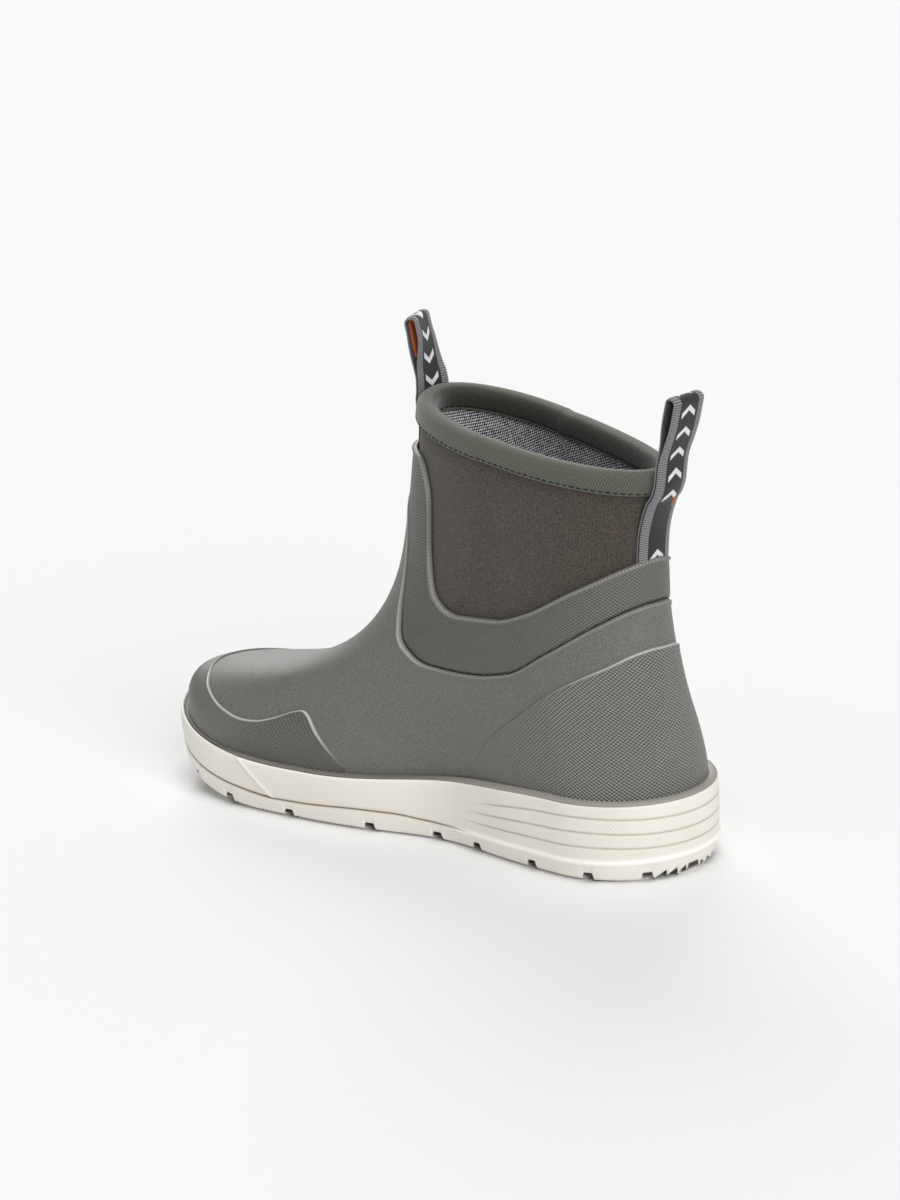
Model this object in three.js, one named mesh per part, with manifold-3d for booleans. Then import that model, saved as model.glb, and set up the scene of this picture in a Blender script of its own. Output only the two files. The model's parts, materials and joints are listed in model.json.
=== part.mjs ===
// A right-foot slip-on deck boot: rubber shell with moulded overlays over a neoprene bootie, an
// off-white sole unit, a bound collar and two webbing pull loops.
// Millimetres, +Z up, +X to the toe, +Y to the inner (medial) side of the foot.
import * as THREE from "three";
import { mergeVertices } from "three/addons/utils/BufferGeometryUtils.js";
import Module from "manifold-3d";

// Overall sizes
const soleLength = 304;
const ballWidth = 120;
const heelWidth = 91;
const heelHeight = 37.3; // ground to the feather line, where the upper meets the sole
const ballHeight = 25.4;
const toeSpring = 17.6;
const collarRise = 150; // feather line to the top of the collar, at the back
const upperInset = 3.5; // the upper stands this far inside the sole's edge

// Walls of the layers, from outside to inside
const overlayWall = 1.2; // toe bumper and heel counter
const rubberWall = 2;
const bandStep = 0.3; // the ankle band lies this far below the shell's face
const neopreneWall = 3.5;
const sockWall = 3.2;
const liningWall = 1;
const layerGap = 0.3;
const overlayGap = 0.6;
const linerGap = 0.6;

// Sole unit
const treadDepth = 9.5;
const toeTreadRise = 13; // how far the tread wraps up at the toe
const lugDepth = 3.4;
const lugGapWidth = 4.5;
const sidewallWall = 9;
const lipWall = 1.7;
const weltWall = 2.4;
const boardWall = 2.4;
const footbedWall = 4.5;
const footbedClearance = 3.8;
const shankLength = 112;
const shankWidth = 18;
const shankWall = 1.5;

// Collar binding and pull loops
const bindingDrop = 7;
const bindingProud = 2.6;
const bindingCrown = 3;
const webbingWidth = 20;
const webbingWall = 1.4;
const backLoopLength = 37;
const frontLoopLength = 33;
const loopLean = 15; // degrees each loop leans away from the leg
const loopOpening = 4.2; // half of the finger gap inside a loop
const loopTapeWall = 0.5;

// Offsets from the last's surface, which is the outer face of the overlays
const rubberOuter = -overlayWall - overlayGap;
const rubberInner = rubberOuter - rubberWall;
const linerOuter = rubberInner - linerGap;
const neopreneInner = linerOuter - neopreneWall;
const sockInner = linerOuter - sockWall;
const liningOuter = neopreneInner - layerGap;
const liningInner = liningOuter - liningWall;

// The last, as stations from the feather line (height 0) to the collar (height 1). A row holds: height;
// back, front, heel and ball positions; half widths at heel and ball; level at the back, at one and
// two thirds and at the front; share of the toe's swing; front roundness; roll; width of the outer side.
const baseLength = 304;
const baseRise = 150;
const baseHeel = 37.3;
const baseInset = 3.5;
const baseBall = 120;
const baseHeelWidth = 91;
const lastStations = [
  [0.0, 3.5, 299.5, 48, 240, 42, 56.5, 37, 32, 26, 43, 1, 2.1, 0, 1],
  [0.07, 3, 300, 50, 238, 41, 56.5, 46, 40, 34, 50.5, 1, 2.1, 1, 1],
  [0.14, 4, 297, 52, 232, 39.8, 55, 55, 49, 42, 56.5, 1, 2.1, 2, 1],
  [0.22, 6, 286, 56, 222, 38.7, 52, 66, 59, 51, 60, 1, 2, 3.2, 1],
  [0.32, 9, 262, 62, 203, 37.5, 48, 79, 72, 61.5, 59.5, 0.95, 1.95, 4.2, 0.98],
  [0.43, 12, 235, 68, 174, 37, 44.5, 92, 87, 75, 62, 0.85, 1.9, 3.6, 0.97],
  [0.54, 14.5, 209.5, 74, 142, 37, 42, 106, 103, 93, 75, 0.7, 1.9, 2.4, 0.97],
  [0.64, 16, 188.5, 78, 118, 37, 41, 119, 118, 111, 95, 0.5, 1.95, 1.5, 0.97],
  [0.74, 16.5, 173.5, 80, 104, 37.8, 40.2, 132, 133, 130, 120, 0.3, 2, 1, 0.97],
  [0.87, 15, 163.5, 84, 98, 38.5, 40, 155, 159, 160, 157, 0.1, 2.1, 1.8, 0.95],
  [1.0, 8, 155, 90, 96, 38, 39, 187, 192, 198.5, 207, 0, 2.2, 3.2, 0.86],
];

// Edges of the moulded overlays, as [way round from back (0) to front (1), height on the last].
const bandTopEdge = [
  [0, 0.83], [0.085, 0.805], [0.225, 0.73], [0.335, 0.635], [0.405, 0.605], [0.5, 0.613],
  [0.595, 0.67], [0.64, 0.715], [0.68, 0.785], [0.715, 0.895], [0.79, 0.94], [1, 0.945],
];
const bandLowEdge = [
  [0, 0.695], [0.07, 0.675], [0.165, 0.605], [0.25, 0.505], [0.325, 0.41], [0.385, 0.395],
  [0.5, 0.425], [0.585, 0.495], [0.68, 0.605], [0.78, 0.73], [0.83, 0.83], [1, 0.89],
];
const counterEdge = [
  [0, 0.54], [0.06, 0.525], [0.135, 0.46], [0.21, 0.375], [0.28, 0.26], [0.325, 0.17], [0.36, 0.03],
];
const bumperEdge = [
  [0.565, 0.03], [0.61, 0.14], [0.665, 0.215], [0.685, 0.2], [0.71, 0.132], [0.76, 0.14],
  [0.85, 0.178], [0.91, 0.21], [1, 0.222],
];
const sockTop = 0.426; // the sock ends here and the shaft's neoprene begins
const shaftBottom = 0.433;

const wasm = await Module();
wasm.setup();

const clamp = THREE.MathUtils.clamp;
const lerp = THREE.MathUtils.lerp;
const smoothstep = THREE.MathUtils.smoothstep;

// A smooth curve through points, without overshoot (monotone cubic).
function curveThrough(points) {
  const xs = points.map((p) => p[0]);
  const ys = points.map((p) => p[1]);
  const steps = xs.slice(1).map((x, i) => x - xs[i]);
  const slopes = steps.map((h, i) => (ys[i + 1] - ys[i]) / h);
  const tangents = xs.map((x, i) => {
    if (i === 0) return slopes[0];
    if (i === xs.length - 1) return slopes[i - 1];
    if (slopes[i - 1] * slopes[i] <= 0) return 0;
    const before = 2 * steps[i] + steps[i - 1];
    const after = steps[i] + 2 * steps[i - 1];
    return (before + after) / (before / slopes[i - 1] + after / slopes[i]);
  });
  return (x) => {
    const v = clamp(x, xs[0], xs[xs.length - 1]);
    const i = Math.max(0, xs.findLastIndex((a, n) => a <= v && n < xs.length - 1));
    const h = steps[i];
    const s = (v - xs[i]) / h;
    const rise = ys[i] * (1 + 2 * s) * (1 - s) ** 2 + ys[i + 1] * s * s * (3 - 2 * s);
    return rise + h * (tangents[i] * s * (1 - s) ** 2 + tangents[i + 1] * s * s * (s - 1));
  };
}

const stationCurves = lastStations[0]
  .slice(1)
  .map((value, n) => curveThrough(lastStations.map((row) => [row[0], row[n + 1]])));

const lengthScale = soleLength / baseLength;
const riseScale = collarRise / baseRise;

// Height of the feather line, and of the ground side of the sole, at a place along the boot.
function featherHeight(x) {
  const along = x / lengthScale;
  const arch = smoothstep(along, 45, 195);
  const spring = Math.max(0, (along - 210) / 93) ** 2;
  return lerp(heelHeight, ballHeight, arch) + toeSpring * spring;
}

function groundHeight(x) {
  return toeSpring * 0.97 * Math.max(0, (x / lengthScale - 220) / 83) ** 2;
}

function treadTop(x) {
  return treadDepth + toeTreadRise * Math.max(0, (x / lengthScale - 225) / 58) ** 2;
}

// Half width of a boot outline at x: an egg with a round heel, a round toe and a drawn-in waist.
function halfWidth(x, shape) {
  const { back, front, heel, ball, heelHalf, ballHalf, toePower, waist } = shape;
  const blend = smoothstep(x, heel, Math.max(ball, heel + 1e-3));
  const toe = 1 - clamp((x - ball) / (front - ball), 0, 1) ** toePower;
  const seat = 1 - clamp((heel - x) / (heel - back), 0, 1) ** 2;
  const full = lerp(heelHalf, ballHalf, blend) * Math.sqrt(Math.max(0, toe) * Math.max(0, seat));
  const pinch = waist * Math.exp(-(((x / lengthScale - 125) / 38) ** 2)) * Math.min(1, full / 20);
  return full - pinch;
}

// How far the toe swings to the inner side of the foot.
function toeSwing(x) {
  return 15 * clamp((x / lengthScale - 170) / 130, 0, 1) ** 2.2;
}

function cubicThrough(levels, s) {
  const [a, b, c, d] = levels;
  const third = 1 / 3;
  return (
    -4.5 * a * (s - third) * (s - 2 * third) * (s - 1) +
    13.5 * b * s * (s - 2 * third) * (s - 1) -
    13.5 * c * s * (s - third) * (s - 1) +
    4.5 * d * s * (s - third) * (s - 2 * third)
  );
}

const outlineSamples = 180;

// Both halves of an outline, with each sample's share of the half's length.
function outline(shape, level) {
  return [1, -1].map((side) => {
    const points = [];
    for (let n = 0; n <= outlineSamples; n++) {
      const angle = (Math.PI * n) / outlineSamples;
      const x = lerp(shape.back, shape.front, (1 - Math.cos(angle)) / 2);
      const wide = halfWidth(x, { ...shape, waist: shape.waist * (side > 0 ? 1 : 0.4) });
      const y = toeSwing(x) * shape.swing + side * wide * (side > 0 ? 1 : shape.lateral);
      points.push(new THREE.Vector3(x, y, level(x) + (shape.roll * side * wide) / 40));
    }
    const way = [0];
    points.slice(1).forEach((p, n) => way.push(way[n] + p.distanceTo(points[n])));
    return { points, way: way.map((w) => w / way[way.length - 1]) };
  });
}

function alongOutline(halves, around) {
  let u = around;
  if (u > 1) u -= 2;
  if (u < -1) u += 2;
  const { points, way } = halves[u < 0 ? 1 : 0];
  const share = Math.abs(u);
  const n = clamp(way.findLastIndex((w) => w <= share), 0, outlineSamples - 1);
  return points[n].clone().lerp(points[n + 1], (share - way[n]) / (way[n + 1] - way[n]));
}

// Outline of the last at a height.
const lastOutlines = new Map();
function lastOutline(height) {
  const key = height.toFixed(4);
  if (lastOutlines.has(key)) return lastOutlines.get(key);
  const row = stationCurves.map((curve) => curve(height));
  const [back, front, heel, ball, heelHalf, ballHalf, z0, z1, z2, z3, swing, toePower, roll, lateral] = row;
  const inset = upperInset - baseInset;
  const ballScale = ballWidth / baseBall;
  const heelScale = heelWidth / baseHeelWidth;
  const shape = {
    back: back * lengthScale + inset,
    front: front * lengthScale - inset,
    heel: heel * lengthScale,
    ball: ball * lengthScale,
    heelHalf: heelHalf * heelScale - inset,
    ballHalf: ballHalf * lerp(ballScale, heelScale, smoothstep(height, 0.4, 0.8)) - inset,
    toePower,
    swing,
    roll,
    lateral,
    waist: 9 * Math.max(0, 1 - height / 0.4),
  };
  const lift = (levels, x) => {
    const s = (x - shape.back) / (shape.front - shape.back);
    return heelHeight + (cubicThrough(levels, s) - baseHeel) * riseScale;
  };
  const base = [6, 7, 8, 9].map((n) => stationCurves[n](0));
  const settle = Math.max(0, 1 - height / 0.3) ** 2;
  const level = (x) =>
    lift([z0, z1, z2, z3], x) + (featherHeight(x) - lift(base, x)) * settle;
  const made = outline(shape, level);
  lastOutlines.set(key, made);
  return made;
}

const soleOutline = outline(
  {
    back: 0,
    front: soleLength,
    heel: 48 * lengthScale,
    ball: 230 * lengthScale,
    heelHalf: heelWidth / 2,
    ballHalf: ballWidth / 2,
    toePower: 2.1,
    swing: 1,
    roll: 0,
    lateral: 1,
    waist: 9,
  },
  () => 0,
);

// Shared columns round the boot and rows up the last: every layer is built on them, so that layers lie
// flat against each other.
const halfColumns = [
  0, 0.045, 0.09, 0.135, 0.18, 0.225, 0.27, 0.315, 0.36, 0.405, 0.45, 0.495, 0.54, 0.585, 0.625, 0.665,
  0.695, 0.73, 0.77, 0.81, 0.85, 0.89, 0.93, 0.965, 1,
];
const columns = [...halfColumns.slice(1).map((u) => -u).reverse(), ...halfColumns];
const rows = [-0.03, 0, 0.07, 0.14, 0.22, 0.32, 0.43, 0.54, 0.64, 0.74, 0.83, 0.92, 1];

function lastPoint(around, height) {
  return alongOutline(lastOutline(height), around);
}

function planNormal(halves, around) {
  const step = 0.004;
  const way = alongOutline(halves, around + step).sub(alongOutline(halves, around - step));
  return new THREE.Vector3(-way.y, way.x, 0).normalize();
}

function lastNormal(around, height) {
  const step = 0.01;
  const low = Math.max(0, height - step);
  const high = Math.min(1, height + step);
  const up = lastPoint(around, high).sub(lastPoint(around, low));
  const way = lastPoint(around + step, height).sub(lastPoint(around - step, height));
  return up.cross(way).normalize();
}

const lattice = rows.map((height) =>
  columns.map((around) => {
    if (height > 0) return { p: lastPoint(around, height), n: lastNormal(around, height) };
    const p = lastPoint(around, 0);
    if (height < 0) p.z -= weltWall + layerGap;
    return { p, n: planNormal(lastOutline(0), around) };
  }),
);

function bracket(list, value) {
  const n = clamp(list.findLastIndex((v) => v <= value + 1e-9), 0, list.length - 2);
  return [n, (value - list[n]) / (list[n + 1] - list[n])];
}

// A point at an offset from the last, on the flat facets between the shared columns and rows.
function skin(around, height, offset) {
  const [k, across] = bracket(columns, around);
  const [j, up] = bracket(rows, height);
  const mix = (key) =>
    lattice[j][k][key]
      .clone()
      .lerp(lattice[j][k + 1][key], across)
      .lerp(lattice[j + 1][k][key].clone().lerp(lattice[j + 1][k + 1][key], across), up);
  return mix("p").addScaledVector(mix("n").normalize(), offset);
}

// A closed mesh from a list of triangles, each of three points, turned to face out.
function closedMesh(triangles) {
  const flat = new THREE.BufferGeometry();
  flat.setAttribute(
    "position",
    new THREE.Float32BufferAttribute(triangles.flat().flatMap((p) => [p.x, p.y, p.z]), 3),
  );
  const merged = mergeVertices(flat, 1e-3);
  const index = merged.index.array;
  const kept = [];
  for (let i = 0; i < index.length; i += 3) {
    const [a, b, c] = index.slice(i, i + 3);
    if (a !== b && b !== c && c !== a) kept.push(a, b, c);
  }
  merged.setIndex(kept);
  const at = (i) => new THREE.Vector3().fromBufferAttribute(merged.attributes.position, i);
  let volume = 0;
  for (let i = 0; i < kept.length; i += 3) {
    volume += at(kept[i]).dot(at(kept[i + 1]).cross(at(kept[i + 2])));
  }
  if (volume < 0) merged.setIndex(kept.reverse());
  return merged;
}

// Triangles of a band of quads between two lines of points, split along either diagonal.
function bandBetween(lower, upper, otherDiagonal = false) {
  const triangles = [];
  for (let k = 0; k < lower.length - 1; k++) {
    const quad = [lower[k], lower[k + 1], upper[k + 1], upper[k]];
    const [a, b, c, d] = otherDiagonal ? [quad[1], quad[2], quad[3], quad[0]] : quad;
    triangles.push([a, b, c], [a, c, d]);
  }
  return triangles;
}

// A run of cross-sections joined into one closed solid. An open run gets its two ends capped. The second
// half of a section is a layer's inner face, split like its outer face so that layers lie flat together.
function sweepSections(sections, closed) {
  const count = sections[0].length;
  const ring = closed ? [...sections, sections[0]] : sections;
  const triangles = [];
  for (let n = 0; n < count; n++) {
    const next = (n + 1) % count;
    const innerFace = n >= count / 2;
    triangles.push(...bandBetween(ring.map((s) => s[n]), ring.map((s) => s[next]), innerFace));
  }
  if (!closed) {
    const half = count / 2;
    [sections[0], sections[sections.length - 1]].forEach((s, end) => {
      const outer = s.slice(0, half);
      const inner = s.slice(half).reverse();
      bandBetween(outer, inner).forEach((t) => triangles.push(end ? t.reverse() : t));
    });
  }
  return closedMesh(triangles);
}

// A layer of the upper between two offsets, from one edge curve to another.
function layer({ from = -1, to = 1, low, high, outer, inner }) {
  const whole = from === -1 && to === 1;
  const inside = columns.filter((u) => u > from && u < to);
  const used = whole ? columns.slice(0, -1) : [from, ...inside, to];
  const sections = used.map((u) => {
    const heights = rows.map((t) => clamp(t, low(u), high(u)));
    return [
      ...heights.map((t) => skin(u, t, outer)),
      ...heights.map((t) => skin(u, t, inner)).reverse(),
    ];
  });
  return sweepSections(sections, whole);
}

// Plan outlines, moved inwards by an inset.
function solePoint(around, inset, height) {
  const p = alongOutline(soleOutline, around);
  p.addScaledVector(planNormal(soleOutline, around), -inset);
  p.z = height(p.x);
  return p;
}

function footPoint(around, inset, height) {
  const p = lastPoint(around, 0);
  p.addScaledVector(planNormal(lastOutline(0), around), -inset);
  p.z = height(p.x);
  return p;
}

// A plate that fills a plan outline, from one height curve to another.
function plate(pointAt, low, high, lowInset, highInset) {
  const rungs = (inset, height) =>
    halfColumns.map((u) => [pointAt(u, inset, height), pointAt(-u, inset, height)]);
  const bottom = rungs(lowInset, low);
  const top = rungs(highInset, high);
  const rail = (list, side) => list.map((rung) => rung[side]);
  return closedMesh([
    ...bandBetween(rail(top, 0), rail(top, 1)),
    ...bandBetween(rail(bottom, 1), rail(bottom, 0)),
    ...bandBetween(rail(bottom, 0), rail(top, 0)),
    ...bandBetween(rail(top, 1), rail(bottom, 1)),
  ]);
}

// A ring round the sole whose section is a list of [outline, inset, height curve].
function soleRing(section) {
  return sweepSections(
    columns.slice(0, -1).map((u) =>
      section.map(([pointAt, inset, height]) => pointAt(u, inset, height)),
    ),
    true,
  );
}

function toSolid(geometry) {
  return new wasm.Manifold(
    new wasm.Mesh({
      numProp: 3,
      vertProperties: new Float32Array(geometry.attributes.position.array),
      triVerts: new Uint32Array(geometry.index.array),
    }),
  );
}

function toGeometry(solid) {
  const { vertProperties, triVerts, numProp } = solid.getMesh();
  const flat = new THREE.BufferGeometry();
  const stride = Array.from({ length: vertProperties.length / numProp }, (_, i) =>
    Array.from(vertProperties.slice(i * numProp, i * numProp + 3)),
  );
  flat.setAttribute("position", new THREE.Float32BufferAttribute(stride.flat(), 3));
  flat.setIndex(Array.from(triVerts));
  return flat;
}

// A bar across the boot, between two places along it and two height curves.
function bar(places, halfWide, low, high) {
  const sections = places.map((x) => [
    new THREE.Vector3(x, halfWide, low(x)),
    new THREE.Vector3(x, halfWide, high(x)),
    new THREE.Vector3(x, -halfWide, high(x)),
    new THREE.Vector3(x, -halfWide, low(x)),
  ]);
  return sweepSections(sections, false);
}

const materials = {
  rubber: new THREE.MeshStandardMaterial({ color: 0x6e6f6b, roughness: 0.72 }),
  overlay: new THREE.MeshStandardMaterial({ color: 0x686a66, roughness: 0.78 }),
  neoprene: new THREE.MeshStandardMaterial({ color: 0x5a5450, roughness: 0.95 }),
  binding: new THREE.MeshStandardMaterial({ color: 0x6b7062, roughness: 0.9 }),
  webbing: new THREE.MeshStandardMaterial({ color: 0x2c2c2e, roughness: 0.9 }),
  tape: new THREE.MeshStandardMaterial({ color: 0xd9731f, roughness: 0.85 }),
  lining: new THREE.MeshStandardMaterial({ color: 0x55555a, roughness: 1 }),
  sock: new THREE.MeshStandardMaterial({ color: 0x3c3c3e, roughness: 1 }),
  sole: new THREE.MeshStandardMaterial({ color: 0xe6e3da, roughness: 0.6 }),
  foam: new THREE.MeshStandardMaterial({ color: 0xd8d4c8, roughness: 0.9 }),
  welt: new THREE.MeshStandardMaterial({ color: 0x8b8782, roughness: 0.7 }),
  board: new THREE.MeshStandardMaterial({ color: 0xb49a72, roughness: 0.95 }),
  steel: new THREE.MeshStandardMaterial({ color: 0x9a9da0, roughness: 0.4, metalness: 1 }),
  footbed: new THREE.MeshStandardMaterial({ color: 0x2f3033, roughness: 0.95 }),
};

const boot = new THREE.Group();

function add(name, geometry, material) {
  geometry.computeVertexNormals();
  const mesh = new THREE.Mesh(geometry, materials[material]);
  mesh.name = name;
  boot.add(mesh);
  return mesh;
}

// Edge curves read the same on both sides of the boot.
const bandTop = curveThrough(bandTopEdge);
const bandLow = curveThrough(bandLowEdge);
const counterTop = curveThrough(counterEdge);
const bumperTop = curveThrough(bumperEdge);
const counterReach = counterEdge[counterEdge.length - 1][0];
const bumperReach = bumperEdge[0][0];

// Rubber shell, the ankle band that carries on from its top edge, and the overlays moulded onto it
const bandSeam = 0.0015; // half of the parting line, as a share of the last's height
add(
  "rubber_upper",
  layer({
    low: () => rows[0],
    high: (u) => bandLow(Math.abs(u)) - bandSeam,
    outer: rubberOuter,
    inner: rubberInner,
  }),
  "rubber",
);
add(
  "ankle_band",
  layer({
    low: (u) => bandLow(Math.abs(u)) + bandSeam,
    high: (u) => bandTop(Math.abs(u)),
    outer: rubberOuter - bandStep,
    inner: rubberInner,
  }),
  "overlay",
);
add(
  "heel_counter",
  layer({
    from: -counterReach,
    to: counterReach,
    low: () => 0,
    high: (u) => counterTop(Math.abs(u)),
    outer: 0,
    inner: -overlayWall,
  }),
  "overlay",
);

// The bumper runs round the toe, so its columns start and end at the sides and pass the front.
function toeBumper() {
  const side = columns.filter((u) => u > bumperReach && u < 1);
  const used = [bumperReach, ...side, 1, ...side.map((u) => -u).reverse(), -bumperReach];
  const sections = used.map((u) => {
    const heights = rows.map((t) => clamp(t, 0, bumperTop(Math.abs(u))));
    return [
      ...heights.map((t) => skin(u, t, 0)),
      ...heights.map((t) => skin(u, t, -overlayWall)).reverse(),
    ];
  });
  return sweepSections(sections, false);
}
add("toe_bumper", toeBumper(), "overlay");

// Neoprene shaft in two halves that meet at the front and back seams, its lining, and the foot's sock
const seamGap = 0.0008; // half of the seam, as a share of a half outline
["lateral", "medial"].forEach((side, n) => {
  add(
    "shaft_panel_" + side,
    layer({
      from: n ? seamGap : -1 + seamGap,
      to: n ? 1 - seamGap : -seamGap,
      low: () => shaftBottom,
      high: () => 1,
      outer: linerOuter,
      inner: neopreneInner,
    }),
    "neoprene",
  );
});
add(
  "shaft_lining",
  layer({ low: () => shaftBottom, high: () => 1, outer: liningOuter, inner: liningInner }),
  "lining",
);
add(
  "foot_sock",
  layer({ low: () => 0, high: () => sockTop, outer: linerOuter, inner: sockInner }),
  "sock",
);

// Collar binding: a puffy tape folded over the top edge of the neoprene and the lining
function collarPoint(around, rise, offset) {
  const top = skin(around, 1, offset);
  const up = skin(around, 1, 0).sub(skin(around, 0.92, 0)).normalize();
  return top.addScaledVector(up, rise);
}
const bindingOuter = linerOuter + bindingProud;
const bindingInner = liningInner - bindingProud * 0.8;
const bindingSection = [
  [linerOuter + layerGap, -bindingDrop],
  [bindingOuter - 0.4, -bindingDrop + 0.8],
  [bindingOuter, -bindingDrop / 2],
  [bindingOuter - 0.8, bindingCrown * 0.4],
  [linerOuter - 0.6, bindingCrown],
  [liningOuter + 0.6, bindingCrown],
  [bindingInner + 0.6, bindingCrown * 0.4],
  [bindingInner, -bindingDrop / 2],
  [bindingInner + 0.4, -bindingDrop - 0.2],
  [liningInner - layerGap, -bindingDrop - 1],
  [liningInner - layerGap, layerGap],
  [linerOuter + layerGap, layerGap],
];
add(
  "collar_binding",
  sweepSections(
    columns.slice(0, -1).map((u) => bindingSection.map(([offset, rise]) => collarPoint(u, rise, offset))),
    true,
  ),
  "binding",
);

// Sole unit, from the welt down to the tread
const shelf = (x) => featherHeight(x) - weltWall - 2 * layerGap;
const boardBottom = (x) => shelf(x) + layerGap;
const treadSeat = (x) => treadTop(x) + 2 * layerGap;
add(
  "welt_strip",
  soleRing([
    [footPoint, -rubberOuter - layerGap, boardBottom],
    [footPoint, -rubberOuter - layerGap, (x) => featherHeight(x) - layerGap],
    [solePoint, lipWall + layerGap, (x) => featherHeight(x) - layerGap],
    [solePoint, lipWall + layerGap, boardBottom],
  ]),
  "welt",
);
add(
  "midsole_sidewall",
  soleRing([
    [solePoint, 0.9, treadSeat],
    [solePoint, 0, (x) => lerp(treadTop(x), featherHeight(x), 0.6)],
    [solePoint, 0.3, (x) => featherHeight(x) - layerGap],
    [solePoint, lipWall, (x) => featherHeight(x) - layerGap],
    [solePoint, lipWall, shelf],
    [solePoint, sidewallWall, shelf],
    [solePoint, sidewallWall, treadSeat],
  ]),
  "sole",
);

const shankFrom = 0.5 * (soleLength * 0.82 - shankLength);
const shankStops = 9;
const shankPlaces = (extra) =>
  Array.from({ length: shankStops }, (_, n) =>
    lerp(shankFrom - extra, shankFrom + shankLength + extra, n / (shankStops - 1)),
  );
const shankBottom = (x) => shelf(x) - shankWall;
add("shank", bar(shankPlaces(0), shankWidth / 2, shankBottom, shelf), "steel");

const coreInset = sidewallWall + layerGap;
const pocket = bar(
  shankPlaces(layerGap),
  shankWidth / 2 + layerGap,
  (x) => shankBottom(x) - layerGap,
  (x) => shelf(x) + 2,
);
const coreBlank = toSolid(plate(solePoint, treadSeat, shelf, coreInset, coreInset));
add("midsole_core", toGeometry(coreBlank.subtract(toSolid(pocket))), "foam");

add(
  "insole_board",
  plate(
    footPoint,
    boardBottom,
    (x) => boardBottom(x) + boardWall,
    -rubberInner + layerGap,
    -rubberInner + layerGap,
  ),
  "board",
);
add(
  "footbed",
  plate(
    footPoint,
    (x) => boardBottom(x) + boardWall + layerGap,
    (x) => boardBottom(x) + boardWall + layerGap + footbedWall,
    -sockInner + footbedClearance,
    -sockInner + footbedClearance,
  ),
  "footbed",
);

// Tread with cross grooves that show as notches along its edge
const lugGaps = [0.235, 0.33, 0.425, 0.52, 0.61, 0.7, 0.79, 0.88].map((share) => share * soleLength);
let tread = toSolid(plate(solePoint, groundHeight, treadTop, 2.2, 1.1));
lugGaps.forEach((x) => {
  const ends = [x - lugGapWidth / 2, x + lugGapWidth / 2];
  const cut = bar(ends, ballWidth, () => -5, (place) => groundHeight(place) + lugDepth);
  tread = tread.subtract(toSolid(cut));
});
add("outsole", toGeometry(tread), "sole");

// Pull loops. Each is webbing folded in two: a sewn part on the shaft's seam, and a free loop above it.
// The two faces of a flat strap that runs along a line, seen from the side.
function strapSides(line, wall) {
  const side = (sign) =>
    line.map((p, n) => {
      const before = line[Math.max(0, n - 1)];
      const after = line[Math.min(line.length - 1, n + 1)];
      const way = new THREE.Vector2(after.x - before.x, after.y - before.y).normalize();
      return new THREE.Vector2(p.x - way.y * sign * wall * 0.5, p.y + way.x * sign * wall * 0.5);
    });
  return { left: side(1), right: side(-1) };
}

// An outline in the X-Z plane, drawn out across the boot.
function acrossBoot(outer, hole, wide, middle) {
  const shape = new THREE.Shape(outer);
  if (hole) shape.holes.push(new THREE.Path(hole));
  const raw = new THREE.ExtrudeGeometry(shape, { depth: wide, bevelEnabled: false });
  raw.deleteAttribute("normal");
  raw.deleteAttribute("uv");
  raw.rotateX(Math.PI / 2);
  raw.translate(0, middle + wide / 2, 0);
  return mergeVertices(raw, 1e-3);
}

const plyGap = 0.2;
const sewnWall = 2 * webbingWall + plyGap;

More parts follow.
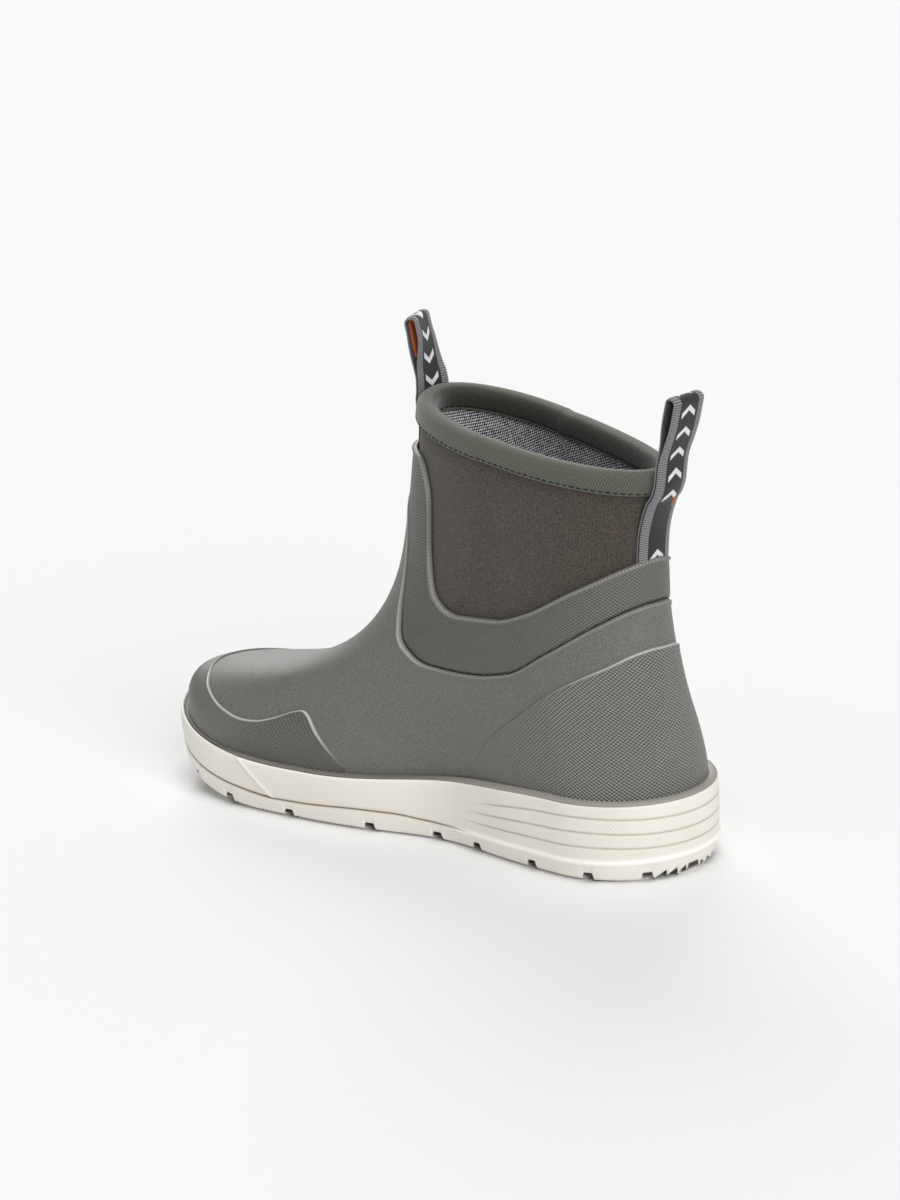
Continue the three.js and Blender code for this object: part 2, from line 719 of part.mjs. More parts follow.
function pullLoop(end, around, hem, length) {
  const outward = around === 0 ? -1 : 1;
  const middle = skin(around, 1, 0).y;
  const sewnLow = linerOuter + layerGap + sewnWall / 2;
  const sewnHigh = bindingOuter + layerGap + sewnWall / 2;
  const place = (rise, offset) => {
    const p = collarPoint(around, rise, offset);
    return new THREE.Vector2(p.x, p.z);
  };
  const foot = skin(around, hem, sewnLow);
  const line = [
    new THREE.Vector2(foot.x, foot.z),
    place(-bindingDrop - 7, sewnLow),
    place(-bindingDrop - 1, sewnHigh),
    place(bindingCrown * 0.5, sewnHigh),
  ];
  const run = strapSides(line, sewnWall);
  add(
    end + "_loop_sewn",
    acrossBoot([...run.left, ...run.right.reverse()], null, webbingWidth, middle),
    "webbing",
  );

  // The free loop, drawn standing on its hinge at the origin and then leaned outward.
  const hinge = place(bindingCrown * 0.5 + sewnWall / 2 + 2 * layerGap, sewnHigh);
  const nose = sewnWall / 2;
  const tip = nose + loopOpening;
  const steps = 7;
  const arcSteps = 8;
  const halfGap = (share) => lerp(plyGap / 2, loopOpening, smoothstep(share, 0.12, 0.75));
  const sideLine = (extra, fromShare) =>
    Array.from({ length: steps }, (_, n) => {
      const share = lerp(fromShare, 1, n / steps);
      return new THREE.Vector2(halfGap(share) + extra, share * (length - tip));
    });
  const arc = (radius, centre, from, to) =>
    Array.from({ length: arcSteps + 1 }, (_, n) => {
      const angle = lerp(from, to, n / arcSteps);
      return new THREE.Vector2(radius * Math.cos(angle), centre + radius * Math.sin(angle));
    });
  const mirrored = (points) => points.map((p) => new THREE.Vector2(-p.x, p.y)).reverse();
  const ringLine = (extra, fromShare) => {
    const right = sideLine(extra, fromShare);
    return [...right, ...arc(loopOpening + extra, length - tip, 0, Math.PI), ...mirrored(right)];
  };
  const outer = [...ringLine(webbingWall, 0), ...arc(nose, 0, Math.PI, 2 * Math.PI).slice(1, -1)];
  const hole = ringLine(0, 0.14);
  const tapeOuter = ringLine(-layerGap, 0.45);
  const tapeInner = ringLine(-layerGap - loopTapeWall, 0.45);
  const lean = THREE.MathUtils.degToRad(loopLean) * outward;
  const stand = (points) =>
    points.map(
      (p) =>
        new THREE.Vector2(
          hinge.x + p.x * Math.cos(lean) + p.y * Math.sin(lean),
          hinge.y - p.x * Math.sin(lean) + p.y * Math.cos(lean),
        ),
    );
  add(end + "_loop_free", acrossBoot(stand(outer), stand(hole), webbingWidth, middle), "webbing");
  const tapeWidth = webbingWidth - 4;
  add(
    end + "_loop_tape",
    acrossBoot(stand([...tapeOuter, ...tapeInner.reverse()]), null, tapeWidth, middle),
    "tape",
  );
  return { hinge, middle };
}

const hemGap = 0.003;
export const hinges = {
  back: pullLoop("back", 0, bandTop(0) + hemGap, backLoopLength),
  front: pullLoop("front", 1, bandTop(1) + hemGap, frontLoopLength),
};

// The origin stands on the ground under the middle of the boot's box.
const box = new THREE.Box3().setFromObject(boot);
const middle = box.getCenter(new THREE.Vector3());
boot.position.set(-middle.x, -middle.y, -box.min.z);

export default boot;
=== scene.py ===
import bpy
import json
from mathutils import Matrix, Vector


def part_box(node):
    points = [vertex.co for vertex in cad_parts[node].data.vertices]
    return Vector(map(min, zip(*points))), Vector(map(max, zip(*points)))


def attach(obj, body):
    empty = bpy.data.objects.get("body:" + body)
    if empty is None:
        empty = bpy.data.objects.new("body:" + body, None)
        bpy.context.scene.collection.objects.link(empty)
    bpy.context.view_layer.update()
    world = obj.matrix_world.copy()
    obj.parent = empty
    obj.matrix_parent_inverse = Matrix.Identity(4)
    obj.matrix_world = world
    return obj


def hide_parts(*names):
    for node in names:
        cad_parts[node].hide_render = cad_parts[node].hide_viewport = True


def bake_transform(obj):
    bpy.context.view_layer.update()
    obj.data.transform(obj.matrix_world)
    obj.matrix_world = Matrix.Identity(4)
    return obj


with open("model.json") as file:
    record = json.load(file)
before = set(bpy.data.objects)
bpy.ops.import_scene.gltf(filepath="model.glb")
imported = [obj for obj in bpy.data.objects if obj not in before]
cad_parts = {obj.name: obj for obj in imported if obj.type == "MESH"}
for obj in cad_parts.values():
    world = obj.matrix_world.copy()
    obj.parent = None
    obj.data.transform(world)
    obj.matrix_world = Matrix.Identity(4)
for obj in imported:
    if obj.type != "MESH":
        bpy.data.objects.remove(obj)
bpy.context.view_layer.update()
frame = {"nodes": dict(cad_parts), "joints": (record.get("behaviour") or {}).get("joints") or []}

import json
import math

import bmesh
import bpy
import numpy as np
from mathutils import Matrix, Vector

# A right-foot slip-on deck boot. Sizes are in millimetres in the boot's own frame: x runs from the back
# of the heel to the toe, y to the inner side of the foot, z up from the ground.
# "u" is the way round the boot: 0 at the back, 1 or -1 at the front, positive on the inner side.
# "t" is the height on the last: 0 at the feather line, 1 at the collar.

scene = bpy.context.scene
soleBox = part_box("midsole_sidewall")
hingePlaces = {joint["name"]: np.array(joint["pos_m"]) * 1000 for joint in frame["joints"]}
bootShift = np.array([soleBox[0].x * 1000, hingePlaces["back_loop_hinge"][1], 0.0])


def toRow(points):
    return (np.asarray(points, float) + bootShift) / 1000


# Camera: a long lens from behind the inner side, looking down a little
cameraSizes = {
    "place": (-1133.7, 1329.1, 636.2),
    "heading": -0.8032,
    "pitch": -0.2803,
    "roll": -0.0482,
    "lens": 121.83,
}


def makeCamera(sizes):
    heading, pitch, roll = sizes["heading"], sizes["pitch"], sizes["roll"]
    ahead = Vector((
        math.cos(pitch) * math.cos(heading),
        math.cos(pitch) * math.sin(heading),
        math.sin(pitch),
    ))
    level = Vector((math.sin(heading), -math.cos(heading), 0))
    above = level.cross(ahead)
    right = level * math.cos(roll) + above * math.sin(roll)
    up = above * math.cos(roll) - level * math.sin(roll)
    data = bpy.data.cameras.new("camera")
    data.lens = sizes["lens"]
    data.sensor_width = 36
    data.clip_start = 0.1
    data.clip_end = 50
    camera = bpy.data.objects.new("camera", data)
    scene.collection.objects.link(camera)
    turn = Matrix((right, up, -ahead)).transposed().to_4x4()
    camera.matrix_world = Matrix.Translation(Vector(toRow(sizes["place"]))) @ turn
    return camera


scene.camera = makeCamera(cameraSizes)
print("camera placed")


# Curves and the last
def curveThrough(points):
    # a smooth curve through points, without overshoot
    xs, ys = np.array(points, float).T
    steps = np.diff(xs)
    slopes = np.diff(ys) / steps
    before = 2 * steps[1:] + steps[:-1]
    after = steps[1:] + 2 * steps[:-1]
    same = slopes[:-1] * slopes[1:] > 0
    first = np.where(same, slopes[:-1], 1)
    second = np.where(same, slopes[1:], 1)
    middle = np.where(same, (before + after) / (before / first + after / second), 0)
    tangents = np.concatenate([slopes[:1], middle, slopes[-1:]])

    def read(x):
        v = np.clip(x, xs[0], xs[-1])
        i = np.clip(np.searchsorted(xs, v, side="right") - 1, 0, len(steps) - 1)
        s = (v - xs[i]) / steps[i]
        rise = ys[i] * (1 + 2 * s) * (1 - s) ** 2 + ys[i + 1] * s * s * (3 - 2 * s)
        return rise + steps[i] * (tangents[i] * s * (1 - s) ** 2 + tangents[i + 1] * s * s * (s - 1))

    return read


def smoothStep(x, low, high):
    s = np.clip((np.asarray(x, float) - low) / (high - low), 0, 1)
    return s * s * (3 - 2 * s)


def bell(x, middle, width):
    return np.exp(-(((x - middle) / width) ** 2))


def mix(a, b, share):
    return a + (b - a) * share


# Height; back, front, heel and ball positions; half widths at heel and ball; level at the back, at one
# and two thirds and at the front; share of the toe's swing; front roundness; roll; width of the outer side
lastStations = [
    [0.0, 3.5, 299.5, 48, 240, 42, 56.5, 37, 32, 26, 43, 1, 2.1, 0, 1],
    [0.07, 3, 300, 50, 238, 41, 56.5, 46, 40, 34, 50.5, 1, 2.1, 1, 1],
    [0.14, 4, 297, 52, 232, 39.8, 55, 55, 49, 42, 56.5, 1, 2.1, 2, 1],
    [0.22, 6, 286, 56, 222, 38.7, 52, 66, 59, 51, 60, 1, 2, 3.2, 1],
    [0.32, 9, 262, 62, 203, 37.5, 48, 79, 72.5, 64, 62.5, 0.95, 1.95, 4.2, 0.98],
    [0.43, 12, 236.5, 68, 174, 37, 44.5, 92, 87.5, 78, 67.2, 0.85, 1.9, 3.6, 0.97],
    [0.54, 14.5, 209.5, 74, 142, 37, 42, 106, 103, 94, 78, 0.7, 1.9, 2.4, 0.97],
    [0.64, 16, 188.5, 78, 118, 37, 41, 119, 118, 111, 95, 0.5, 1.95, 1.5, 0.97],
    [0.74, 16.5, 173.5, 80, 104, 37.8, 40.2, 132, 133, 130, 120, 0.3, 2, 1, 0.97],
    [0.87, 15, 163.5, 84, 98, 38.5, 40, 155, 159, 160, 157, 0.1, 2.1, 1.8, 0.95],
    [1.0, 8, 155, 90, 96, 38, 39, 183, 190, 198, 207, 0, 2.2, 0, 0.88],
]
stationCurves = [
    curveThrough([(row[0], row[n + 1]) for row in lastStations]) for n in range(len(lastStations[0]) - 1)
]
# Edges of the moulded layers: way round from the back, and height on the last
bandTop = curveThrough([
    (0, 0.822), (0.03, 0.82), (0.085, 0.805), (0.225, 0.73), (0.335, 0.635), (0.405, 0.605), (0.5, 0.613),
    (0.595, 0.67), (0.64, 0.715), (0.68, 0.785), (0.715, 0.895), (0.79, 0.94), (1, 0.945),
])
bandLow = curveThrough([
    (0, 0.692), (0.025, 0.691), (0.07, 0.677), (0.165, 0.605), (0.25, 0.505), (0.325, 0.41), (0.385, 0.395),
    (0.5, 0.425), (0.585, 0.495), (0.68, 0.605), (0.78, 0.73), (0.83, 0.83), (0.91, 0.878),
    (0.97, 0.889), (1, 0.89),
])
counterTop = curveThrough([
    (0, 0.537), (0.025, 0.536), (0.06, 0.525), (0.135, 0.46), (0.21, 0.375), (0.28, 0.26),
    (0.325, 0.17), (0.36, 0.03),
])
bumperTop = curveThrough([
    (0.565, 0.03), (0.61, 0.13), (0.652, 0.205), (0.664, 0.214), (0.676, 0.206), (0.7, 0.168),
    (0.726, 0.141), (0.752, 0.133), (0.785, 0.142), (0.85, 0.178), (0.91, 0.21), (1, 0.222),
])

# Offsets of the layers from the last's surface
layers = {
    "shell": -1.8,
    "shellInside": -3.8,
    "band": -2.0,
    "neoprene": -4.4,
    "neopreneInside": -7.9,
    "lining": -8.2,
    "liningInside": -9.2,
    "sockInside": -7.6,
}


# The feather line's level at heel and forefoot, and the spring that lifts the toe off the ground
feather = {
    "heel": 37.3,
    "forefoot": 25.4,
    "slope": (45, 195),
    "springFrom": 210,
    "springOver": 93,
    "spring": 17.6,
}
ground = {"springFrom": 220, "springOver": 83, "spring": 17.1}


def toeSpring(x, sizes):
    return sizes["spring"] * np.maximum(0, (x - sizes["springFrom"]) / sizes["springOver"]) ** 2


def featherHeight(x):
    slope = smoothStep(x, *feather["slope"])
    return mix(feather["heel"], feather["forefoot"], slope) + toeSpring(x, feather)


def groundHeight(x):
    return toeSpring(x, ground)


outlineSizes = {
    "waistPlace": 125,
    "waistWidth": 38,
    "outerWaist": 0.4,
    "swing": 15,
    "swingFrom": 170,
    "swingOver": 130,
    "swingPower": 2.2,
}


def halfOutline(back, front, heel, ball, heelHalf, ballHalf, toePower, waist, side, swing, lateral):
    # one half of an egg outline, seen from above, from the back to the front
    angle = np.linspace(0, math.pi, 1201)
    x = mix(back, front, (1 - np.cos(angle)) / 2)
    toe = 1 - np.clip((x - ball) / (front - ball), 0, 1) ** toePower
    seat = 1 - np.clip((heel - x) / (heel - back), 0, 1) ** 2
    wide = mix(heelHalf, ballHalf, smoothStep(x, heel, ball))
    full = wide * np.sqrt(np.maximum(0, toe) * np.maximum(0, seat))
    sizes = outlineSizes
    drawn = waist * (1 if side > 0 else sizes["outerWaist"])
    half = full - drawn * bell(x, sizes["waistPlace"], sizes["waistWidth"]) * np.minimum(1, full / 20)
    along = np.clip((x - sizes["swingFrom"]) / sizes["swingOver"], 0, 1)
    turn = sizes["swing"] * along ** sizes["swingPower"] * swing
    return x, turn + side * half * (1 if side > 0 else lateral), side * half


def spreadEvenly(points, shares):
    # points at shares of a line's length, and that length
    way = np.concatenate([[0], np.cumsum(np.linalg.norm(np.diff(points, axis=0), axis=1))])
    return np.stack([np.interp(shares * way[-1], way, points[:, n]) for n in range(3)], 1), way[-1]


def cubicThrough(levels, s):
    # a cubic through four levels at equal steps
    a, b, c, d = levels
    third = 1 / 3
    return (
        -4.5 * a * (s - third) * (s - 2 * third) * (s - 1)
        + 13.5 * b * s * (s - 2 * third) * (s - 1)
        - 13.5 * c * s * (s - third) * (s - 1)
        + 4.5 * d * s * (s - third) * (s - 2 * third)
    )


halfSteps = 600  # columns of the last on each side
rowSteps = 240  # rows of the last
smoothPasses = 60
dropBelow = 90  # millimetres of drop below the feather line for one unit of t


def lastRow(t):
    back, front, heel, ball, heelHalf, ballHalf, z0, z1, z2, z3, swing, power, roll, lateral = [
        float(curve(t)) for curve in stationCurves
    ]
    base = [float(stationCurves[n](0)) for n in (6, 7, 8, 9)]
    settle = max(0, 1 - t / 0.3) ** 2
    waist = 9 * max(0, 1 - t / 0.4)
    halves = []
    for side in (1, -1):
        x, y, across = halfOutline(
            back, front, heel, ball, heelHalf, ballHalf, power, waist, side, swing, lateral
        )
        s = (x - back) / (front - back)
        z = cubicThrough([z0, z1, z2, z3], s) + (featherHeight(x) - cubicThrough(base, s)) * settle
        points = np.stack([x, y, z + roll * across / 40], 1)
        halves.append(spreadEvenly(points, np.linspace(0, 1, halfSteps + 1)))
    ring = np.concatenate([halves[1][0][:0:-1], halves[0][0]])
    return ring, (halves[0][1] + halves[1][1]) / 2


def surfaceNormals(grid):
    around = np.concatenate([grid[:, -5:-1], grid, grid[:, 1:5]], 1)
    way = around[:, 8:] - around[:, :-8]
    up = np.gradient(grid, axis=0)
    normals = np.cross(up, way)
    return normals / np.linalg.norm(normals, axis=2, keepdims=True)


rowsMade = [lastRow(t) for t in np.linspace(0, 1, rowSteps + 1)]
lastGrid = np.array([ring for ring, half in rowsMade])
for smoothing in range(smoothPasses):
    lastGrid[1:-1] = (lastGrid[:-2] + 2 * lastGrid[1:-1] + lastGrid[2:]) / 4
halfLengths = np.array([half for ring, half in rowsMade])
lastNormals = surfaceNormals(lastGrid)
riseGrid = np.linalg.norm(np.gradient(lastGrid, 1 / rowSteps, axis=0), axis=2)[..., None]
climbGrid = np.cumsum(riseGrid, axis=0) / rowSteps
print("last surface made")


def sampleGrid(grid, u, t):
    a = (np.mod(u + 1, 2)) * halfSteps
    b = np.clip(t, 0, 1) * rowSteps
    i = np.clip(np.floor(a).astype(int), 0, 2 * halfSteps - 1)
    j = np.clip(np.floor(b).astype(int), 0, rowSteps - 1)
    across, up = (a - i)[..., None], (b - j)[..., None]
    low = mix(grid[j, i], grid[j, i + 1], across)
    high = mix(grid[j + 1, i], grid[j + 1, i + 1], across)
    return mix(low, high, up)


def skin(u, t, offset):
    # a point at an offset from the last; below the feather line it drops straight down
    u, t, offset = np.broadcast_arrays(*[np.asarray(v, float) for v in (u, t, offset)])
    n = sampleGrid(lastNormals, u, t)
    flat = n * (1, 1, 0)
    flat = flat / np.linalg.norm(flat, axis=-1, keepdims=True)
    n = np.where((t < 0)[..., None], flat, n)
    n = n / np.linalg.norm(n, axis=-1, keepdims=True)
    p = sampleGrid(lastGrid, u, t) + n * offset[..., None]
    p[..., 2] -= dropBelow * np.clip(-t, 0, None)
    return p


def halfLength(t):
    # half the way round the last at a height
    return np.interp(t, np.linspace(0, 1, rowSteps + 1), halfLengths)


def collarPoint(u, rise, offset):
    # a point above or below the collar's edge, in line with the shaft's wall
    up = skin(u, 1, 0) - skin(u, 0.92, 0)
    up = up / np.linalg.norm(up, axis=-1, keepdims=True)
    return skin(u, 1, offset) + up * np.asarray(rise, float)[..., None]


soleOutline = {
    "back": 0,
    "front": 304,
    "heel": 48,
    "ball": 230,
    "heelHalf": 45.5,
    "ballHalf": 60,
    "toePower": 2.1,
    "waist": 9,
}


def soleHalf(side):
    x, y, _ = halfOutline(**soleOutline, side=side, swing=1, lateral=1)
    return spreadEvenly(np.stack([x, y, 0 * x], 1), np.linspace(0, 1, halfSteps + 1))


soleHalves = [soleHalf(1), soleHalf(-1)]
soleRing = np.concatenate([soleHalves[1][0][:0:-1], soleHalves[0][0]])
soleLength = (soleHalves[0][1] + soleHalves[1][1]) / 2


def planRing(ring, u, inset):
    # points on a plan outline, moved inwards
    steps = np.linspace(-1, 1, 2 * halfSteps + 1)
    wrapped = np.mod(np.asarray(u, float) + 1, 2) - 1
    gap = 0.004

    def at(v):
        v = np.mod(v + 1, 2) - 1
        return np.stack([np.interp(v, steps, ring[:, n]) for n in (0, 1)], -1)

    way = at(wrapped + gap) - at(wrapped - gap)
    way = way / np.linalg.norm(way, axis=-1, keepdims=True)
    outward = np.stack([-way[..., 1], way[..., 0]], -1)
    return at(wrapped) - outward * np.asarray(inset, float)[..., None]


def solePlan(u, inset):
    return planRing(soleRing, u, inset)


def footPlan(u, inset):
    return planRing(lastGrid[0], u, inset)


def atHeight(plan, z):
    return np.concatenate([plan, np.asarray(z, float)[..., None]], -1)


# Mesh making
def gridMesh(name, points, closeAround, closeAcross, uv=None, marks=None, creases=None, weld=False):
    # a mesh from a grid of points, turned to face out; an open run of closed sections gets its two caps
    rows, across = points.shape[:2]
    i = np.arange(rows if closeAround else rows - 1)
    j = np.arange(across if closeAcross else across - 1)
    a, b = np.meshgrid(i, j, indexing="ij")
    corners = [(a, b), (a + 1, b), (a + 1, b + 1), (a, b + 1)]
    faces = np.stack([(p % rows) * across + q % across for p, q in corners], -1).reshape(-1, 4)
    flat = toRow(points).reshape(-1, 3)
    tri = flat[faces]
    turned = np.cross(tri[:, 1], tri[:, 2]) + np.cross(tri[:, 2], tri[:, 3])
    flip = np.einsum("ij,ij->", tri[:, 0], turned) < 0
    order = [3, 2, 1, 0] if flip else [0, 1, 2, 3]
    lists = faces[:, order].tolist()
    if closeAcross and not closeAround:
        first = list(range(across))
        last = [(rows - 1) * across + n for n in range(across)]
        lists.append(first if flip else first[::-1])
        lists.append(last[::-1] if flip else last)
    mesh = bpy.data.meshes.new(name)
    mesh.from_pydata(flat.tolist(), [], lists)
    if uv is not None:
        layer = mesh.uv_layers.new(name="length")
        values = np.zeros((len(mesh.loops), 2), np.float32)
        found = np.stack([uv[p, q] for p, q in corners], 2).reshape(-1, 4, 2)[:, order].reshape(-1, 2)
        values[: len(found)] = found
        layer.data.foreach_set("uv", values.ravel())
    for key, value in (marks or {}).items():
        attribute = mesh.attributes.new(key, "FLOAT", "POINT")
        attribute.data.foreach_set("value", np.ascontiguousarray(value, np.float32).ravel())
    if weld:
        joined = bmesh.new()
        joined.from_mesh(mesh)
        bmesh.ops.remove_doubles(joined, verts=joined.verts, dist=2e-6)
        joined.to_mesh(mesh)
        joined.free()
    mesh.polygons.foreach_set("use_smooth", [True] * len(mesh.polygons))
    if creases:
        mesh.set_sharp_from_angle(angle=math.radians(creases))
    mesh.validate()
    piece = bpy.data.objects.new(name, mesh)
    scene.collection.objects.link(piece)
    return piece


def finishPiece(piece, material, body, nodes):
    piece.data.materials.append(material)
    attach(piece, body)
    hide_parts(*nodes)


def edgeScale(w, edge):
    # how much height on the last one millimetre square to an edge takes, at each column
    t = edge(w)
    gap = 0.002
    rise = sampleGrid(riseGrid, w, t)[..., 0]
    slope = (edge(w + gap) - edge(w - gap)) * rise / (2 * gap * halfLength(t))
    return np.sqrt(1 + np.minimum(slope**2, 7)) / rise


def wallRows(w, low, high, lowSteps, highSteps, middle):
    # heights of a wall's rows, close together at its edges, with each row's distance from both edges
    lowScale, highScale = edgeScale(w, low), edgeScale(w, high)
    lowRows = low(w)[:, None] + lowScale[:, None] * np.array(lowSteps)
    highRows = high(w)[:, None] - highScale[:, None] * np.array(highSteps)[::-1]
    shares = np.linspace(0, 1, middle + 2)[1:-1]
    between = mix(lowRows[:, -1:], highRows[:, :1], shares)
    t = np.concatenate([lowRows, between, highRows], 1)
    return t, (t - low(w)[:, None]) / lowScale[:, None], (high(w)[:, None] - t) / highScale[:, None]


def lengthMap(w, t, middle):
    # own map in metres: the way round from a centre line, and the climb from the feather line
    climb = sampleGrid(climbGrid, w, np.clip(t, 0, 1))[..., 0]
    return np.stack([(w - middle) * halfLength(t), climb], -1) / 1000


def wallPiece(name, w, closed, t, outer, inner, middle=0, marks=None, creases=None):
    # a wall of the upper: its outer face row by row, then its inner face back down
    wide = w[:, None] + 0 * t
    inside = np.broadcast_to(inner, t.shape) if np.ndim(inner) else np.full(t.shape, inner)
    step = 1 if np.ndim(inner) else 6
    back = np.unique(np.r_[0, np.arange(0, t.shape[1], step), t.shape[1] - 1])[::-1]
    u = np.concatenate([wide, wide[:, back]], 1)
    heights = np.concatenate([t, t[:, back]], 1)
    offsets = np.concatenate([np.broadcast_to(outer, t.shape), inside[:, back]], 1)
    points = skin(u, heights, offsets)
    uv = lengthMap(u, heights, middle)
    if closed:
        turn = uv[:1].copy()
        turn[..., 0] = 2 * halfLength(heights[:1]) / 1000 + turn[..., 0]
        uv = np.concatenate([uv, turn])
    else:
        uv = np.concatenate([uv, uv[-1:]])
    uv = np.concatenate([uv, uv[:, :1]], 1)
    spread = {}
    for key, value in (marks or {}).items():
        full = np.broadcast_to(value, t.shape)
        spread[key] = np.concatenate([full, full[:, back]], 1)
    return gridMesh(name, points, closed, True, uv, spread, creases)


def fromHex(code):
    # sRGB hex to linear
    values = [int(code[n:n + 2], 16) / 255 for n in (1, 3, 5)]
    return [v / 12.92 if v <= 0.04045 else ((v + 0.055) / 1.055) ** 2.4 for v in values] + [1]


def addNode(tree, kind, settings=None, inputs=None, output=0):
    # adds a node, sets and links its inputs, and returns one of its outputs; colours are given as hex
    node = tree.nodes.new(kind)
    for key, value in (settings or {}).items():
        setattr(node, key, value)
    for key, value in (inputs or {}).items():
        if isinstance(value, bpy.types.NodeSocket):
            tree.links.new(value, node.inputs[key])
        else:
            node.inputs[key].default_value = fromHex(value) if isinstance(value, str) else value
    return node.outputs[output] if len(node.outputs) else None


colours = {"data_type": "RGBA"}  # for mixing colours, not numbers


def newMaterial(name, sockets):
    # an empty material: its tree and its shader, with the constant sockets set
    material = bpy.data.materials.new(name)
    material.use_nodes = True
    tree = material.node_tree
    shader = tree.nodes["Principled BSDF"]
    for key, value in sockets.items():
        shader.inputs[key].default_value = value
    return material, tree, shader


def setSurface(tree, shader, tone, height, strength, depth):
    # a material's colour, and its relief, which is depth millimetres deep
    relief = {"Height": height, "Strength": strength, "Distance": depth / 1000}
    bump = addNode(tree, "ShaderNodeBump", None, relief)
    tree.links.new(tone, shader.inputs["Base Color"])
    tree.links.new(bump, shader.inputs["Normal"])


def waves(tree, place, pitches):
    # a sine along each of some directions; a pitch is in millimetres along x and along y, 0 for none
    made = []
    for pitch in pitches:
        turn = [2000 * math.pi / p if p else 0 for p in pitch]
        dot = addNode(
            tree, "ShaderNodeVectorMath", {"operation": "DOT_PRODUCT"}, {0: place, 1: (*turn, 0)}, "Value"
        )
        made.append(addNode(tree, "ShaderNodeMath", {"operation": "SINE"}, {0: dot}))
    return made


# Moulded vulcanised rubber with a sand-blasted mould finish: a dull grey with fine lighter specks
def sandedRubber():
    material, tree, shader = newMaterial("sandedRubber", {"IOR": 1.52})
    place = addNode(tree, "ShaderNodeTexCoord", output="Object")
    # the real grit is about 0.3 mm, drawn coarser so that it shows
    grit = {"Vector": place, "Scale": 1000 / 0.7, "Detail": 3.0, "Roughness": 0.6}
    specks = addNode(tree, "ShaderNodeTexNoise", None, grit)
    clouds = addNode(tree, "ShaderNodeTexNoise", None, {"Vector": place, "Scale": 1000 / 45, "Detail": 1.0})
    base = addNode(tree, "ShaderNodeMix", colours, {0: clouds, 6: "#575854", 7: "#62635e"}, 2)
    share = addNode(tree, "ShaderNodeMapRange", None, {"Value": specks, "From Min": 0.38, "From Max": 0.7})
    bright = addNode(tree, "ShaderNodeMix", colours, {0: share, 6: base, 7: "#7b7b75"}, 2)
    # ridge mark: raised edges painted near-white, a painted highlight
    ridge = addNode(tree, "ShaderNodeAttribute", {"attribute_name": "ridge"}, None, "Fac")
    paintedRidgeHighlight = addNode(tree, "ShaderNodeMix", colours, {0: ridge, 6: bright, 7: "#bcbdb7"}, 2)
    rough = addNode(tree, "ShaderNodeMapRange", None, {"Value": specks, "To Min": 0.4, "To Max": 0.6})
    tree.links.new(rough, shader.inputs["Roughness"])
    setSurface(tree, shader, paintedRidgeHighlight, specks, 0.45, 0.5)
    return material


# The same rubber knurled in crossed diagonals, which catch the light as a fine diamond net
def knurledRubber(name, pitch, depth, low, high):
    # the real rows are about 1.3 mm apart and the grit 0.3 mm, both drawn coarser so that they show
    material, tree, shader = newMaterial(name, {"IOR": 1.52, "Roughness": 0.45})
    length = addNode(tree, "ShaderNodeUVMap", {"uv_map": "length"})
    place = addNode(tree, "ShaderNodeTexCoord", output="Object")
    across, along = waves(tree, length, [(pitch, 0), (0, pitch * 0.68)])
    net = addNode(tree, "ShaderNodeMath", {"operation": "MULTIPLY"}, {0: across, 1: along})
    knurl = addNode(tree, "ShaderNodeAttribute", {"attribute_name": "knurl"}, None, "Fac")
    ridge = addNode(tree, "ShaderNodeAttribute", {"attribute_name": "ridge"}, None, "Fac")
    grit = {"Vector": place, "Scale": 1000 / 0.8, "Detail": 2.0}
    specks = addNode(tree, "ShaderNodeTexNoise", None, grit)
    plain = addNode(tree, "ShaderNodeMix", colours, {0: specks, 6: "#5a5b57", 7: "#6e6f6a"}, 2)
    # the net's crests painted lighter and its pits darker: painted highlight and painted shade of the knurl
    share = addNode(tree, "ShaderNodeMapRange", None, {"Value": net, "From Min": -0.8, "From Max": 0.8})
    cut = addNode(tree, "ShaderNodeMix", colours, {0: share, 6: low, 7: high}, 2)
    both = addNode(tree, "ShaderNodeMix", colours, {0: knurl, 6: plain, 7: cut}, 2)
    # ridge mark: raised edges painted near-white, a painted highlight
    paintedRidgeHighlight = addNode(tree, "ShaderNodeMix", colours, {0: ridge, 6: both, 7: "#d2d2cc"}, 2)
    faded = addNode(tree, "ShaderNodeMath", {"operation": "MULTIPLY"}, {0: net, 1: knurl})
    height = addNode(tree, "ShaderNodeMath", {"operation": "MULTIPLY_ADD"}, {0: specks, 1: 0.3, 2: faded})
    setSurface(tree, shader, paintedRidgeHighlight, height, 1.0, depth)
    return material


# Neoprene faced with brushed jersey: dull brown-grey, mottled by its yarn, with a faint sheen
def jerseyNeoprene():
    sockets = {"Roughness": 0.95, "Sheen Weight": 0.22, "Sheen Roughness": 0.6}
    material, tree, shader = newMaterial("jerseyNeoprene", sockets)
    place = addNode(tree, "ShaderNodeTexCoord", output="Object")
    length = addNode(tree, "ShaderNodeUVMap", {"uv_map": "length"})
    # a jersey's stitches are about 0.5 mm, drawn coarser so that they show
    nap = {"Vector": place, "Scale": 1000 / 0.8, "Detail": 3.0, "Roughness": 0.6}
    specks = addNode(tree, "ShaderNodeTexNoise", None, nap)
    (wales,) = waves(tree, length, [(1.6, 0)])
    mottled = addNode(tree, "ShaderNodeMath", {"operation": "MULTIPLY_ADD"}, {0: wales, 1: 0.03, 2: specks})
    contrast = {"Value": mottled, "From Min": 0.36, "From Max": 0.68}
    share = addNode(tree, "ShaderNodeMapRange", None, contrast)
    tone = addNode(tree, "ShaderNodeMix", colours, {0: share, 6: "#2b241f", 7: "#554b42"}, 2)
    setSurface(tree, shader, tone, mottled, 0.6, 0.35)
    return material


